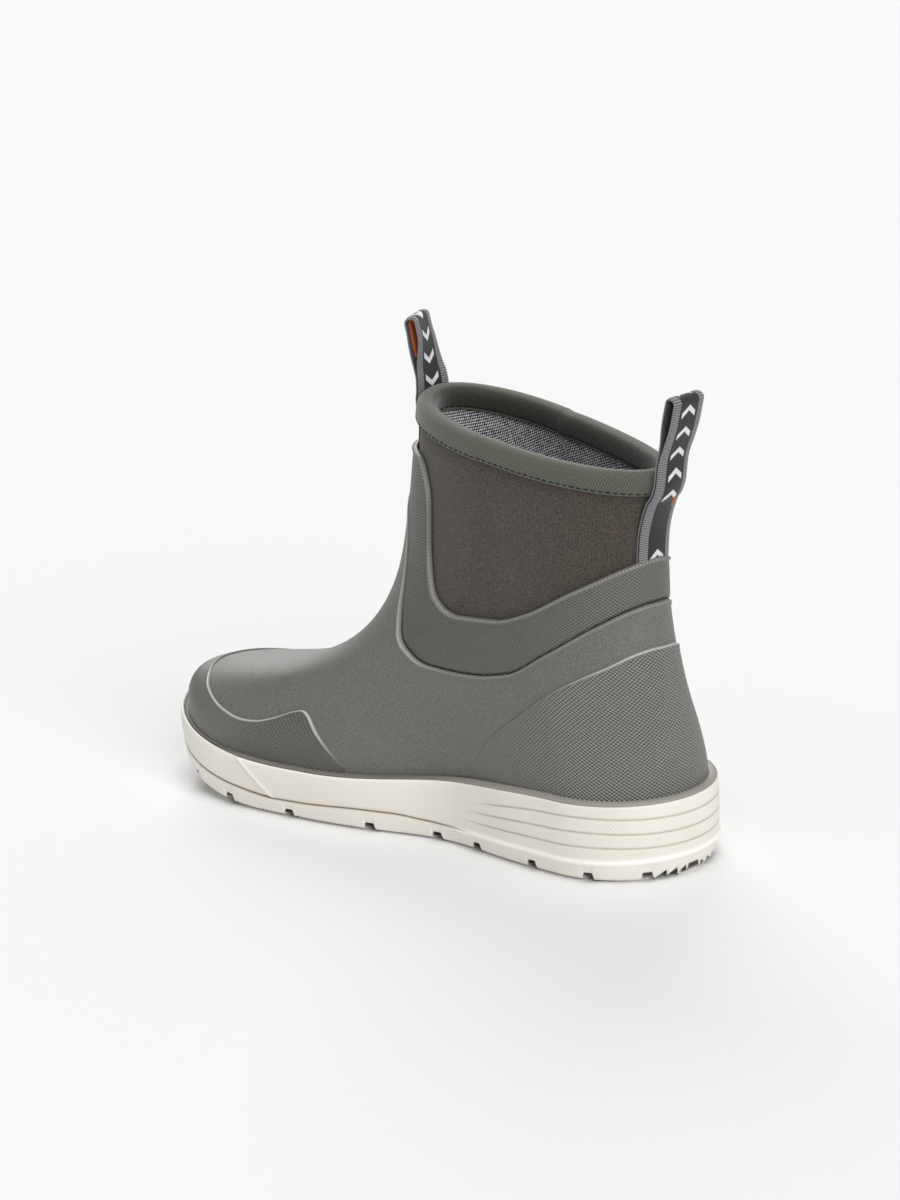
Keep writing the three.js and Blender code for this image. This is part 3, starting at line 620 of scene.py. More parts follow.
# Knitted binding tape: olive satin yarn in fine ribs outside, brushed and darker inside
def ribbedTape():
    sockets = {"Roughness": 0.72, "Sheen Weight": 0.35, "Sheen Roughness": 0.45}
    material, tree, shader = newMaterial("ribbedTape", sockets)
    place = addNode(tree, "ShaderNodeTexCoord", output="Object")
    length = addNode(tree, "ShaderNodeUVMap", {"uv_map": "length"})
    (ribs,) = waves(tree, length, [(1.3, 4)])  # ribs of a satin tape are about 0.8 mm, drawn coarser
    nap = {"Vector": place, "Scale": 1000 / 1.3, "Detail": 3.0, "Roughness": 0.6}
    fuzz = addNode(tree, "ShaderNodeTexNoise", None, nap)
    share = addNode(tree, "ShaderNodeMapRange", None, {"Value": ribs, "From Min": -1, "From Max": 1})
    outside = addNode(tree, "ShaderNodeMix", colours, {0: share, 6: "#3b3e35", 7: "#64685b"}, 2)
    inside = addNode(tree, "ShaderNodeMix", colours, {0: fuzz, 6: "#1f211c", 7: "#3d4036"}, 2)
    mark = addNode(tree, "ShaderNodeAttribute", {"attribute_name": "inside"}, None, "Fac")
    both = addNode(tree, "ShaderNodeMix", colours, {0: mark, 6: outside, 7: inside}, 2)
    height = addNode(tree, "ShaderNodeMath", {"operation": "MULTIPLY_ADD"}, {0: ribs, 1: 0.4, 2: fuzz})
    setSurface(tree, shader, both, height, 0.6, 0.3)
    return material


# Tweed knit: black and pale yarns crossing on the diagonal
def tweedKnit(name, dark, pale, pitch):
    # the real yarns are about 0.9 mm apart, drawn coarser so that they show
    material, tree, shader = newMaterial(name, {"Roughness": 1.0, "Sheen Weight": 0.2})
    place = addNode(tree, "ShaderNodeTexCoord", output="Object")
    length = addNode(tree, "ShaderNodeUVMap", {"uv_map": "length"})
    first, second = waves(tree, length, [(pitch, pitch * 1.7), (pitch * 1.8, -pitch)])
    noise = addNode(tree, "ShaderNodeTexNoise", None, {"Vector": place, "Scale": 1000 / 1.5, "Detail": 2.0})
    yarn = addNode(tree, "ShaderNodeMath", {"operation": "MULTIPLY"}, {0: first, 1: second})
    dots = addNode(tree, "ShaderNodeMath", {"operation": "MULTIPLY_ADD"}, {0: noise, 1: 1.5, 2: yarn})
    share = addNode(tree, "ShaderNodeMapRange", None, {"Value": dots, "From Min": 0.62, "From Max": 1.0})
    tone = addNode(tree, "ShaderNodeMix", colours, {0: share, 6: dark, 7: pale}, 2)
    setSurface(tree, shader, tone, dots, 0.5, 0.4)
    return material


# Jacquard webbing: black centre with white woven chevrons between ribbed grey edges; sizes in metres
chevrons = {
    "repeat": 0.0105,
    "slant": 0.8,
    "edge": (0.15, 0.11),
    "reach": (0.0046, 0.0042),
    "border": (0.0058, 0.0062),
}


def wovenWebbing():
    sockets = {"Roughness": 0.85, "Sheen Weight": 0.2, "Sheen Roughness": 0.5}
    material, tree, shader = newMaterial("wovenWebbing", sockets)
    place = addNode(tree, "ShaderNodeTexCoord", output="Object")
    length = addNode(tree, "ShaderNodeUVMap", {"uv_map": "length"})
    side = addNode(tree, "ShaderNodeSeparateXYZ", None, {0: length}, "X")
    along = addNode(tree, "ShaderNodeSeparateXYZ", None, {0: length}, "Y")
    across = addNode(tree, "ShaderNodeMath", {"operation": "ABSOLUTE"}, {0: side})
    (ribs,) = waves(tree, length, [(0, 1.1)])
    yarn = addNode(tree, "ShaderNodeTexNoise", None, {"Vector": place, "Scale": 1000 / 0.8, "Detail": 2.0})
    cord = addNode(tree, "ShaderNodeMapRange", None, {"Value": ribs, "From Min": -1, "From Max": 1})
    edge = addNode(tree, "ShaderNodeMix", colours, {0: cord, 6: "#505055", 7: "#909093"}, 2)
    centre = addNode(tree, "ShaderNodeMix", colours, {0: yarn, 6: "#0f0f11", 7: "#29292c"}, 2)
    lean = {0: across, 1: chevrons["slant"], 2: along}
    slanted = addNode(tree, "ShaderNodeMath", {"operation": "MULTIPLY_ADD"}, lean)
    repeat = addNode(tree, "ShaderNodeMath", {"operation": "DIVIDE"}, {0: slanted, 1: chevrons["repeat"]})
    phase = addNode(tree, "ShaderNodeMath", {"operation": "FRACT"}, {0: repeat})
    apart = addNode(tree, "ShaderNodeMath", {"operation": "SUBTRACT"}, {0: phase, 1: 0.5})
    gap = addNode(tree, "ShaderNodeMath", {"operation": "ABSOLUTE"}, {0: apart})
    stroke, reach, border = [
        addNode(tree, "ShaderNodeMapRange", None, {"Value": value, "From Min": low, "From Max": high})
        for value, (low, high) in (
            (gap, chevrons["edge"]), (across, chevrons["reach"]), (across, chevrons["border"])
        )
    ]
    woven = addNode(tree, "ShaderNodeAttribute", {"attribute_name": "woven"}, None, "Fac")
    inside = addNode(tree, "ShaderNodeMath", {"operation": "MULTIPLY"}, {0: stroke, 1: reach})
    shown = addNode(tree, "ShaderNodeMath", {"operation": "MULTIPLY"}, {0: inside, 1: woven})
    marked = addNode(tree, "ShaderNodeMix", colours, {0: shown, 6: centre, 7: "#dededf"}, 2)
    whole = addNode(tree, "ShaderNodeMix", colours, {0: border, 6: marked, 7: edge}, 2)
    height = addNode(tree, "ShaderNodeMath", {"operation": "MULTIPLY_ADD"}, {0: yarn, 1: 0.5, 2: shown})
    setSurface(tree, shader, whole, height, 0.4, 0.3)
    return material


# Off-white moulded rubber: satin, a fine slanted rib on the sides, release lines in its grooves
def soleRubber():
    material, tree, shader = newMaterial("soleRubber", {"Roughness": 0.5, "IOR": 1.52})
    place = addNode(tree, "ShaderNodeTexCoord", output="Object")
    length = addNode(tree, "ShaderNodeUVMap", {"uv_map": "length"})
    ribs, cross = waves(tree, length, [(2.1, 2.6), (2.1, -2.6)])
    clouds = addNode(tree, "ShaderNodeTexNoise", None, {"Vector": place, "Scale": 1000 / 30, "Detail": 1.0})
    base = addNode(tree, "ShaderNodeMix", colours, {0: clouds, 6: "#eae6dc", 7: "#f3efe8"}, 2)
    ribbed, groove, raisedHighlight, hollow = [
        addNode(tree, "ShaderNodeAttribute", {"attribute_name": mark}, None, "Fac")
        for mark in ("ribbed", "groove", "raisedHighlight", "hollow")
    ]
    faint = {"Value": ribs, "From Min": -1, "From Max": 1, "To Max": 0.09}
    low = addNode(tree, "ShaderNodeMapRange", None, faint)
    shade = addNode(tree, "ShaderNodeMath", {"operation": "MULTIPLY"}, {0: low, 1: ribbed})
    toned = addNode(tree, "ShaderNodeMix", colours, {0: shade, 6: base, 7: "#b9b2a2"}, 2)
    # raised edges, the toe facet's crease and the heel bead painted near-white: a painted highlight
    paintedEdgeHighlight = addNode(tree, "ShaderNodeMix", colours, {0: raisedHighlight, 6: toned, 7: "#fffdf8"}, 2)
    lined = addNode(tree, "ShaderNodeMix", colours, {0: groove, 6: paintedEdgeHighlight, 7: "#a3947b"}, 2)
    # notch and tooth channels painted near-black: painted shade where the channels lie in shadow
    paintedNotchShade = addNode(tree, "ShaderNodeMix", colours, {0: hollow, 6: lined, 7: "#37342f"}, 2)
    both = addNode(tree, "ShaderNodeMath", {"operation": "ADD"}, {0: ribs, 1: cross})
    net = addNode(tree, "ShaderNodeMath", {"operation": "MULTIPLY"}, {0: both, 1: ribbed})
    setSurface(tree, shader, paintedNotchShade, net, 0.3, 0.1)
    return material


# Extruded rubber welt, a warmer grey than the shell
def weltRubber():
    material, tree, shader = newMaterial("weltRubber", {"Roughness": 0.5, "IOR": 1.5})
    place = addNode(tree, "ShaderNodeTexCoord", output="Object")
    dust = addNode(tree, "ShaderNodeTexNoise", None, {"Vector": place, "Scale": 1000 / 6, "Detail": 3.0})
    base = addNode(tree, "ShaderNodeMix", colours, {0: dust, 6: "#625c55", 7: "#736d65"}, 2)
    ledge = addNode(tree, "ShaderNodeAttribute", {"attribute_name": "ledge"}, None, "Fac")
    pale = addNode(tree, "ShaderNodeMix", colours, {0: ledge, 6: base, 7: "#9f9a94"}, 2)
    setSurface(tree, shader, pale, dust, 0.15, 0.2)
    return material


# Yarn, foam, board and steel: two near tones in grains of the stuff's own size
def grainyStuff(name, dark, light, size, rough, metal=0.0, sheen=0.0):
    sockets = {"Roughness": rough, "Metallic": metal, "Sheen Weight": sheen}
    material, tree, shader = newMaterial(name, sockets)
    place = addNode(tree, "ShaderNodeTexCoord", output="Object")
    grain = {"Vector": place, "Scale": 1000 / size, "Detail": 2.5}
    grains = addNode(tree, "ShaderNodeTexNoise", None, grain)
    tone = addNode(tree, "ShaderNodeMix", colours, {0: grains, 6: dark, 7: light}, 2)
    setSurface(tree, shader, tone, grains, 0.4, 0.25)
    return material


finish = {
    "shell": sandedRubber(),
    # the two knurl tones of each rubber: painted shade in the pits, painted highlight on the crests
    "counter": knurledRubber("coarseKnurledRubber", 2.4, 0.4, "#484945", "#9c9c96"),
    "band": knurledRubber("fineKnurledRubber", 2.4, 0.28, "#4a4b47", "#777771"),
    "neoprene": jerseyNeoprene(),
    "tape": ribbedTape(),
    "lining": tweedKnit("tweedKnit", "#0a0a0c", "#f0f0f5", 2.3),
    "sock": tweedKnit("brushedKnit", "#232326", "#515156", 2.2),
    "webbing": wovenWebbing(),
    "webbingBack": grainyStuff("webbingUnderside", "#29292b", "#4c4c50", 0.8, 0.9, sheen=0.2),  # dull weave
    "orange": grainyStuff("orangeTwill", "#b5500f", "#e0781f", 0.8, 0.9, sheen=0.2),  # bright, furry
    "thread": grainyStuff("blackThread", "#0a0a0b", "#1d1d1f", 0.5, 0.9),  # bonded polyester, nearly black
    "sole": soleRubber(),
    "welt": weltRubber(),
    "foam": grainyStuff("evaFoam", "#cfcabc", "#e1ddd1", 1.5, 0.9),  # fine closed cells, chalky
    "board": grainyStuff("fibreBoard", "#9c8460", "#bda57d", 2.0, 0.95),  # pressed fibres, tan
    "steel": grainyStuff("rolledSteel", "#86898c", "#a3a6a9", 8.0, 0.38, 1.0),  # cold rolled, soft gloss
    "footbed": grainyStuff("feltTopFoam", "#1f2023", "#3e4044", 1.4, 1.0),  # brushed black felt
}
print("materials made")


# Repeats along a line, by Geometry Nodes
def beadTree():
    # beads set along a line: stitches when long, ribs when flat
    tree = bpy.data.node_groups.new("beadsAlongLine", "GeometryNodeTree")
    face = tree.interface
    face.new_socket("Line", in_out="INPUT", socket_type="NodeSocketGeometry")
    for name in ("Pitch", "Radius"):
        face.new_socket(name, in_out="INPUT", socket_type="NodeSocketFloat")
    face.new_socket("Shape", in_out="INPUT", socket_type="NodeSocketVector")
    face.new_socket("Material", in_out="INPUT", socket_type="NodeSocketMaterial")
    face.new_socket("Beads", in_out="OUTPUT", socket_type="NodeSocketGeometry")
    given = {item.name: addNode(tree, "NodeGroupInput", output=item.name)
             for item in face.items_tree if item.in_out == "INPUT"}
    line = addNode(tree, "GeometryNodeMeshToCurve", None, {0: given["Line"]})
    places = addNode(
        tree, "GeometryNodeCurveToPoints", {"mode": "LENGTH"}, {"Curve": line, "Length": given["Pitch"]}
    )
    bead = addNode(
        tree, "GeometryNodeMeshUVSphere", None, {"Segments": 8, "Rings": 5, "Radius": given["Radius"]}
    )
    placed = addNode(tree, "GeometryNodeInstanceOnPoints", None, {
        "Points": places,
        "Instance": bead,
        "Rotation": places.node.outputs["Rotation"],
        "Scale": given["Shape"],
    })
    solid = addNode(tree, "GeometryNodeRealizeInstances", None, {0: placed})
    painted = addNode(
        tree, "GeometryNodeSetMaterial", None, {"Geometry": solid, "Material": given["Material"]}
    )
    addNode(tree, "NodeGroupOutput", None, {0: painted})
    return tree


beadsAlongLine = beadTree()


def beadsOn(name, line, closed, values, material, body):
    # a plain mesh of beads along a line of points
    mesh = bpy.data.meshes.new(name + "Line")
    count = len(line)
    edges = [(n, (n + 1) % count) for n in range(count if closed else count - 1)]
    mesh.from_pydata(toRow(line).tolist(), edges, [])
    holder = bpy.data.objects.new(name + "Line", mesh)
    scene.collection.objects.link(holder)
    modifier = holder.modifiers.new("beads", "NODES")
    modifier.node_group = beadsAlongLine
    named = {item.name: item.identifier for item in beadsAlongLine.interface.items_tree}
    modifier[named["Pitch"]] = values["pitch"] / 1000
    modifier[named["Radius"]] = values["radius"] / 1000
    modifier[named["Shape"]] = values["shape"]
    modifier[named["Material"]] = material
    graph = bpy.context.evaluated_depsgraph_get()
    made = bpy.data.meshes.new_from_object(holder.evaluated_get(graph))
    made.polygons.foreach_set("use_smooth", [True] * len(made.polygons))
    bpy.data.objects.remove(holder)
    piece = bpy.data.objects.new(name, made)
    scene.collection.objects.link(piece)
    if not made.materials:
        made.materials.append(material)
    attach(piece, body)


def constant(value):
    def read(w):
        return np.full_like(w, value)

    return read


around = np.linspace(-1, 1, 521)[:-1]
fineAround = np.linspace(-1, 1, 1201)[:-1]
edgeRows = [0, 0.12, 0.28, 0.5, 0.8, 1.15, 1.6, 2.2, 3.0]


# Rubber shell, with a rolled lip where the ankle band sits
shellSizes = {"lip": 0.55, "lipWidth": 0.9, "edgeDrop": 1.1, "gap": 0.0015}


def makeShell(sizes):
    def high(w):
        return bandLow(np.abs(w)) - sizes["gap"]

    t, _, dHigh = wallRows(around, constant(-0.03), high, [0], edgeRows, 92)
    lip = sizes["lip"] * bell(dHigh, 1.3, sizes["lipWidth"])
    drop = sizes["edgeDrop"] * np.exp(-dHigh / 0.22)
    front = smoothStep(np.abs(around), 0.42, 0.62)[:, None]
    # a lighter line along the lip: painted highlight
    ridge = mix(0.25, 0.75, front) * bell(dHigh, 1.1, 0.6)
    outer = layers["shell"] + lip - drop
    piece = wallPiece("rubberUpper", around, True, t, outer, layers["shellInside"], marks={"ridge": ridge})
    finishPiece(piece, finish["shell"], "boot", ["rubber_upper"])


makeShell(shellSizes)

# Ankle band: knurled, with a groove below and a ribbed lip on top
bandSizes = {"lip": 0.6, "lipWidth": 0.75, "groove": 1.0, "edgeDrop": 1.3, "gap": 0.0015}
lipRibs = {"pitch": 1.7, "radius": 0.55, "shape": (1.0, 1.0, 0.7)}


def makeBand(sizes):
    def low(w):
        return bandLow(np.abs(w)) + sizes["gap"]

    def high(w):
        return bandTop(np.abs(w))

    t, dLow, dHigh = wallRows(around, low, high, edgeRows[:8], edgeRows[:8], 30)
    lip = sizes["lip"] * bell(dHigh, 0.95, sizes["lipWidth"])
    drop = sizes["edgeDrop"] * np.exp(-dHigh / 0.2) + sizes["groove"] * (1 - smoothStep(dLow, 0, 1.3))
    crown = 0.25 * smoothStep(dLow, 0.8, 5) * smoothStep(dHigh, 1.5, 6)
    # ridge: a lighter line along the top lip, a painted highlight
    marks = {"knurl": 0.85 * smoothStep(dHigh, 1.6, 3), "ridge": 0.35 * bell(dHigh, 0.95, 0.6)}
    outer = layers["band"] + lip + crown - drop
    piece = wallPiece("ankleBand", around, True, t, outer, layers["shellInside"], marks=marks)
    finishPiece(piece, finish["band"], "boot", ["ankle_band"])
    crest = bandTop(np.abs(fineAround)) - 0.95 * edgeScale(fineAround, high)
    line = skin(fineAround, crest, layers["band"] + sizes["lip"] - 0.3)
    beadsOn("ankleBandRibs", line, True, lipRibs, finish["shell"], "boot")


makeBand(bandSizes)

# Overlays moulded onto the shell: each rises from it over a rounded edge
counterSizes = {"reach": 0.36, "height": 1.15, "ridge": 0.3, "round": 1.0}
bumperSizes = {"reach": 0.565, "height": 0.75, "ridge": 0.4, "round": 0.9}


def overlayFace(dHigh, height, sizes):
    # offset of an overlay's face by its distance from the upper edge
    rise = smoothStep(dHigh, -0.1, sizes["round"]) * height
    bead = sizes["ridge"] * bell(dHigh, sizes["round"], 0.6) * height
    return layers["shell"] - 0.12 + rise + bead


def makeCounter(sizes):
    def high(v):
        return counterTop(np.abs(v))

    w = np.linspace(-sizes["reach"], sizes["reach"], 321)
    t, _, dHigh = wallRows(w, constant(-0.012), high, [0], edgeRows, 84)
    side = np.abs(w)[:, None] + 0 * t
    strength = 1 - 0.75 * smoothStep(side, 0.2, 0.36)
    outer = overlayFace(dHigh, sizes["height"] * strength, sizes)
    marks = {
        "knurl": (1 - smoothStep(side, 0.18, 0.35)) * smoothStep(dHigh, 0.8, 2.2),
        # ridge: a lighter line along the top edge, a painted highlight
        "ridge": 0.8 * bell(dHigh, 0.85, 0.45) * (1 - smoothStep(side, 0.1, 0.27)),
    }
    piece = wallPiece("heelCounter", w, False, t, outer, layers["shell"] - 0.5, marks=marks)
    finishPiece(piece, finish["counter"], "boot", ["heel_counter"])


def makeBumper(sizes):
    def high(v):
        return bumperTop(1 - np.abs(v - 1))

    w = np.linspace(sizes["reach"], 2 - sizes["reach"], 401)
    t, _, dHigh = wallRows(w, constant(-0.012), high, [0], edgeRows, 40)
    side = 1 - np.abs(w - 1)[:, None] + 0 * t
    strength = smoothStep(side, 0.555, 0.62) * 0.85 + 0.15
    outer = overlayFace(dHigh, sizes["height"] * strength, sizes)
    ends = smoothStep(side, 0.56, 0.63) * (1 - smoothStep(side, 0.88, 0.97))
    marks = {
        "knurl": 0.9 * (1 - smoothStep(side, 0.7, 0.84)) * smoothStep(dHigh, 0.8, 2.5),
        # ridge: a lighter line along the top edge, a painted highlight
        "ridge": 0.85 * bell(dHigh, 0.8, 0.42) * ends,
    }
    piece = wallPiece("toeBumper", w, False, t, outer, layers["shell"] - 0.5, 1, marks)
    finishPiece(piece, finish["band"], "boot", ["toe_bumper"])


makeCounter(counterSizes)
makeBumper(bumperSizes)
print("rubber upper made")

# Neoprene shaft, its lining and the foot's sock
shaftSizes = {"bottom": 0.433, "seam": 0.0008, "liningSeam": -0.25, "sockTop": 0.426}


def makeShaft(sizes):
    across = np.linspace(sizes["seam"], 1 - sizes["seam"], 241)
    for name, w in (("medial", across), ("lateral", -across[::-1])):
        t, _, _ = wallRows(w, constant(sizes["bottom"]), constant(1.0), [0, 1], [0, 0.5, 1], 80)
        soft = 0.12 * np.sin(t * 23 + 3 * w[:, None]) * np.sin(w[:, None] * 17)
        title = "shaftPanel" + name.capitalize()
        piece = wallPiece(title, w, False, t, layers["neoprene"] + soft - 0.1, layers["neopreneInside"])
        finishPiece(piece, finish["neoprene"], "boot", ["shaft_panel_" + name])


def makeLining(sizes):
    t, _, _ = wallRows(around, constant(sizes["bottom"]), constant(1.0), [0, 1], [0, 1], 46)
    away = np.abs(around - sizes["liningSeam"])[:, None] * halfLength(t)
    seam = 0.55 * bell(away, 1.4, 0.9) - 0.35 * bell(away, 0, 0.55)
    inner = layers["liningInside"] - seam
    piece = wallPiece("shaftLining", around, True, t, layers["lining"], inner)
    finishPiece(piece, finish["lining"], "boot", ["shaft_lining"])


def makeSock(sizes):
    t, _, _ = wallRows(around[::2], constant(0.0), constant(sizes["sockTop"]), [0, 1], [0, 1], 26)
    piece = wallPiece("footSock", around[::2], True, t, layers["neoprene"], layers["sockInside"] + 0 * t)
    finishPiece(piece, finish["sock"], "boot", ["foot_sock"])


makeShaft(shaftSizes)
makeLining(shaftSizes)
makeSock(shaftSizes)
print("shaft made")

# Collar binding: a puffy tape folded over the edge, stitched through near both hems
bindingSizes = {
    "section": [
        (-4.3, -7.6), (-2.5, -7.5), (-1.95, -6.4), (-1.7, -3.6), (-1.9, -0.6), (-2.9, 1.7), (-5.0, 3.1),
        (-7.6, 3.2), (-9.9, 2.2), (-11.2, 0.2), (-11.5, -3.2), (-11.1, -6.6), (-10.4, -7.9), (-9.3, -8.2),
        (-9.35, -4.0), (-8.8, 0.1), (-6.8, 0.5), (-4.8, 0.1), (-4.3, -3.6),
    ],
    "columns": 420,
    "seams": {
        "bindingStitches": (-6.3, -1.98),
        "bindingStitchesInside": (-6.3, -11.3),
        "bindingHemCord": (-7.8, -10.7),
    },
}
bindingStitch = {"pitch": 3.4, "radius": 0.4, "shape": (1.0, 1.0, 3.4)}
hemCord = {"pitch": 0.9, "radius": 0.5, "shape": (1.0, 1.0, 1.5)}


def roundThrough(points, closed, per):
    # a Catmull-Rom curve through points, with per steps to each span
    p = np.asarray(points, float)
    n = len(p)
    made = []
    for k in range(n if closed else n - 1):
        if closed:
            a, b, c, d = [p[(k + m) % n] for m in (-1, 0, 1, 2)]
        else:
            a, b, c, d = p[max(k - 1, 0)], p[k], p[k + 1], p[min(k + 2, n - 1)]
        for s in np.arange(per) / per:
            made.append(0.5 * (
                2 * b + (c - a) * s + (2 * a - 5 * b + 4 * c - d) * s**2 + (3 * b - a - 3 * c + d) * s**3
            ))
    if not closed:
        made.append(p[-1])
    return np.array(made)


def makeBinding(sizes):
    section = roundThrough(sizes["section"], True, 3)
    u = np.linspace(-1, 1, sizes["columns"] + 1)[:-1]
    wide, rise = u[:, None] + 0 * section[:, 1], section[:, 1] + 0 * u[:, None]
    pucker = 0.09 * np.sin(wide * 140) * bell(rise, -7, 2.2)
    points = collarPoint(wide, rise, section[:, 0] + pucker)
    way = np.concatenate([[0], np.cumsum(np.linalg.norm(np.diff(section, axis=0), axis=1))])
    uv = np.zeros((len(u) + 1, len(section) + 1, 2))
    uv[..., 0] = np.append(u, 1)[:, None] * halfLength(1) / 1000
    uv[..., 1] = np.append(way, way[-1] + 1) / 1000
    inside = smoothStep(-section[:, 0], 8.2, 10.2) + 0 * rise
    piece = gridMesh("collarBinding", points, True, True, uv, {"inside": inside})
    finishPiece(piece, finish["tape"], "boot", ["collar_binding"])
    for name, values, stuff in (
        ("bindingStitches", bindingStitch, "thread"),
        ("bindingStitchesInside", bindingStitch, "thread"),
        ("bindingHemCord", hemCord, "tape"),
    ):
        rise, offset = sizes["seams"][name]
        line = collarPoint(fineAround, np.full_like(fineAround, rise), offset)
        beadsOn(name, line, True, values, finish[stuff], "boot")


makeBinding(bindingSizes)
print("binding made")

# Pull loops: one length of webbing each, folded in two, sewn down the seam and free above
strapSizes = {
    "width": 20,
    "wall": 1.3,
    "plyOffset": 0.72,
    "stripe": 4,
    "rib": 0.11,
    "ribPitch": 1.1,
    "lean": 15,
    "backCurve": 36,
    "step": 0.25,
    "tuck": 0.016,
    "tapeWall": 0.6,
    "tapeStep": 0.5,
    "tapeGap": 0.45,
    "tapeFrom": 0.45,
}
straps = {
    "back": {"hinge": "back_loop_hinge", "u": 0, "outward": -1, "length": 34, "rises": (-28, -19),
             "opening": 1.8, "twist": 0, "tapeWidth": 8, "plain": (7.5, 29)},
    "front": {"hinge": "front_loop_hinge", "u": 1, "outward": 1, "length": 32, "rises": (-16,),
              "opening": 1.9, "twist": -25, "tapeWidth": 15, "plain": (0, 0)},
}


def collarFlat(u, rise, offset):
    return collarPoint(np.array([float(u)]), np.array([float(rise)]), np.array([float(offset)]))[0][[0, 2]]


def loopHalfGap(share, strap, sizes):
    return mix(sizes["plyOffset"], strap["opening"] + sizes["wall"] / 2, smoothStep(share, 0.12, 0.75))


def loopLine(strap, sizes, inward, fromShare):
    # the free loop's line, up its outer ply, over the tip and down its inner ply
    outward = strap["outward"]
    tip = strap["opening"] + sizes["wall"]
    top = strap["length"] - tip
    shares = np.linspace(fromShare, 1, 9)[:-1]
    side = [(float(loopHalfGap(s, strap, sizes)) - inward, s * top) for s in shares]
    radius = float(loopHalfGap(1, strap, sizes)) - inward
    arc = [(radius * np.sign(math.cos(a)) * abs(math.cos(a)) ** 0.8, top + radius * math.sin(a) ** 0.8)
           for a in np.linspace(0, math.pi, 11)]
    local = side + arc + [(-p, q) for p, q in side[::-1]]
    hinge = (hingePlaces[strap["hinge"]] - bootShift)[[0, 2]]
    lean = math.radians(sizes["lean"]) * outward
    return [
        (
            hinge[0] + outward * p * math.cos(lean) + q * math.sin(lean),
            hinge[1] - outward * p * math.sin(lean) + q * math.cos(lean),
        )
        for p, q in local
    ]


def sewnLine(strap, sizes, side):
    # one ply from its foot, tucked at the band, up over the binding
    u = strap["u"]
    ply = side * sizes["plyOffset"]
    foot = skin(np.array([u]), bandTop(u) - sizes["tuck"], -4.1 + ply)[0][[0, 2]]
    low = [collarFlat(u, rise, -3.3 + ply) for rise in strap["rises"]]
    bend = [collarFlat(u, -11.5, -2.3 + ply), collarFlat(u, -7.6, -0.75 + ply)]
    return [foot, *low, *bend, collarFlat(u, -3.6, 0.02 + ply), collarFlat(u, 0.5, 0.02 + ply)]


def evenLine(points, step):
    line = roundThrough(points, False, 12)
    way = np.concatenate([[0], np.cumsum(np.linalg.norm(np.diff(line, axis=0), axis=1))])
    places = np.linspace(0, way[-1], int(way[-1] / step))
    return np.stack([np.interp(places, way, line[:, n]) for n in (0, 1)], 1), places


def ribbon(name, points, outward, width, wall, step, curve, rib=0.0, pitch=1.0, stripe=0.0, gap=(0, 0)):
    # a strap along a line seen from the side; its face is on the line's outer side
    line, way = evenLine(points, step)
    tangent = np.gradient(line, axis=0)
    tangent = tangent / np.linalg.norm(tangent, axis=1, keepdims=True)
    normal = np.stack([-tangent[:, 1], tangent[:, 0]], 1) * -outward
    half = width / 2
    edge = np.linspace(-half, -half + stripe + 0.5, 4)
    across = np.concatenate([edge, np.linspace(-half + 6, half - 6, 5), -edge[::-1]])
    lift = np.where(np.abs(across) > half - 0.01, wall * 0.28, wall * 0.5)
    y = np.concatenate([across, [half + 0.18], across[::-1], [-half - 0.18]])
    n = np.concatenate([lift, [0], -lift[::-1], [0]])
    ribbed = (np.abs(y) > half - stripe - 0.6) & (np.abs(y) < half)
    wave = 1 + rib / (wall * 0.5) * np.sin(2 * math.pi * way / pitch)[:, None] * ribbed
    depth = n * wave
    points3 = np.zeros((len(line), len(y), 3))
    free = smoothStep(line[:, 1:], *curve["levels"])
    wrap = y**2 / (2 * curve["radius"]) * mix(1, curve["loose"], free)
    points3[..., 0] = line[:, :1] + normal[:, :1] * depth - outward * wrap
    points3[..., 1] = y
    points3[..., 2] = line[:, 1:] + normal[:, 1:] * depth
    middle = curve["hinge"][0] + (points3[..., 2] - curve["hinge"][1]) * math.tan(curve["lean"])
    start, full = curve["levels"]
    turn = math.radians(curve["twist"]) * smoothStep(line[:, 1:], start, full + 12)
    apart = points3[..., 0] - middle
    points3[..., 0] = middle + apart * np.cos(turn) + y * np.sin(turn)
    points3[..., 1] = y * np.cos(turn) - apart * np.sin(turn)
    uv = np.zeros((len(line) + 1, len(y) + 1, 2))
    uv[..., 0] = np.append(y, y[0]) / 1000
    uv[..., 1] = np.append(way, way[-1])[:, None] / 1000
    woven = 1 - (way > gap[0]) * (way < gap[1])
    piece = gridMesh(name, points3, False, True, uv, {"woven": woven[:, None] + 0 * depth})
    return piece, len(across), len(y)


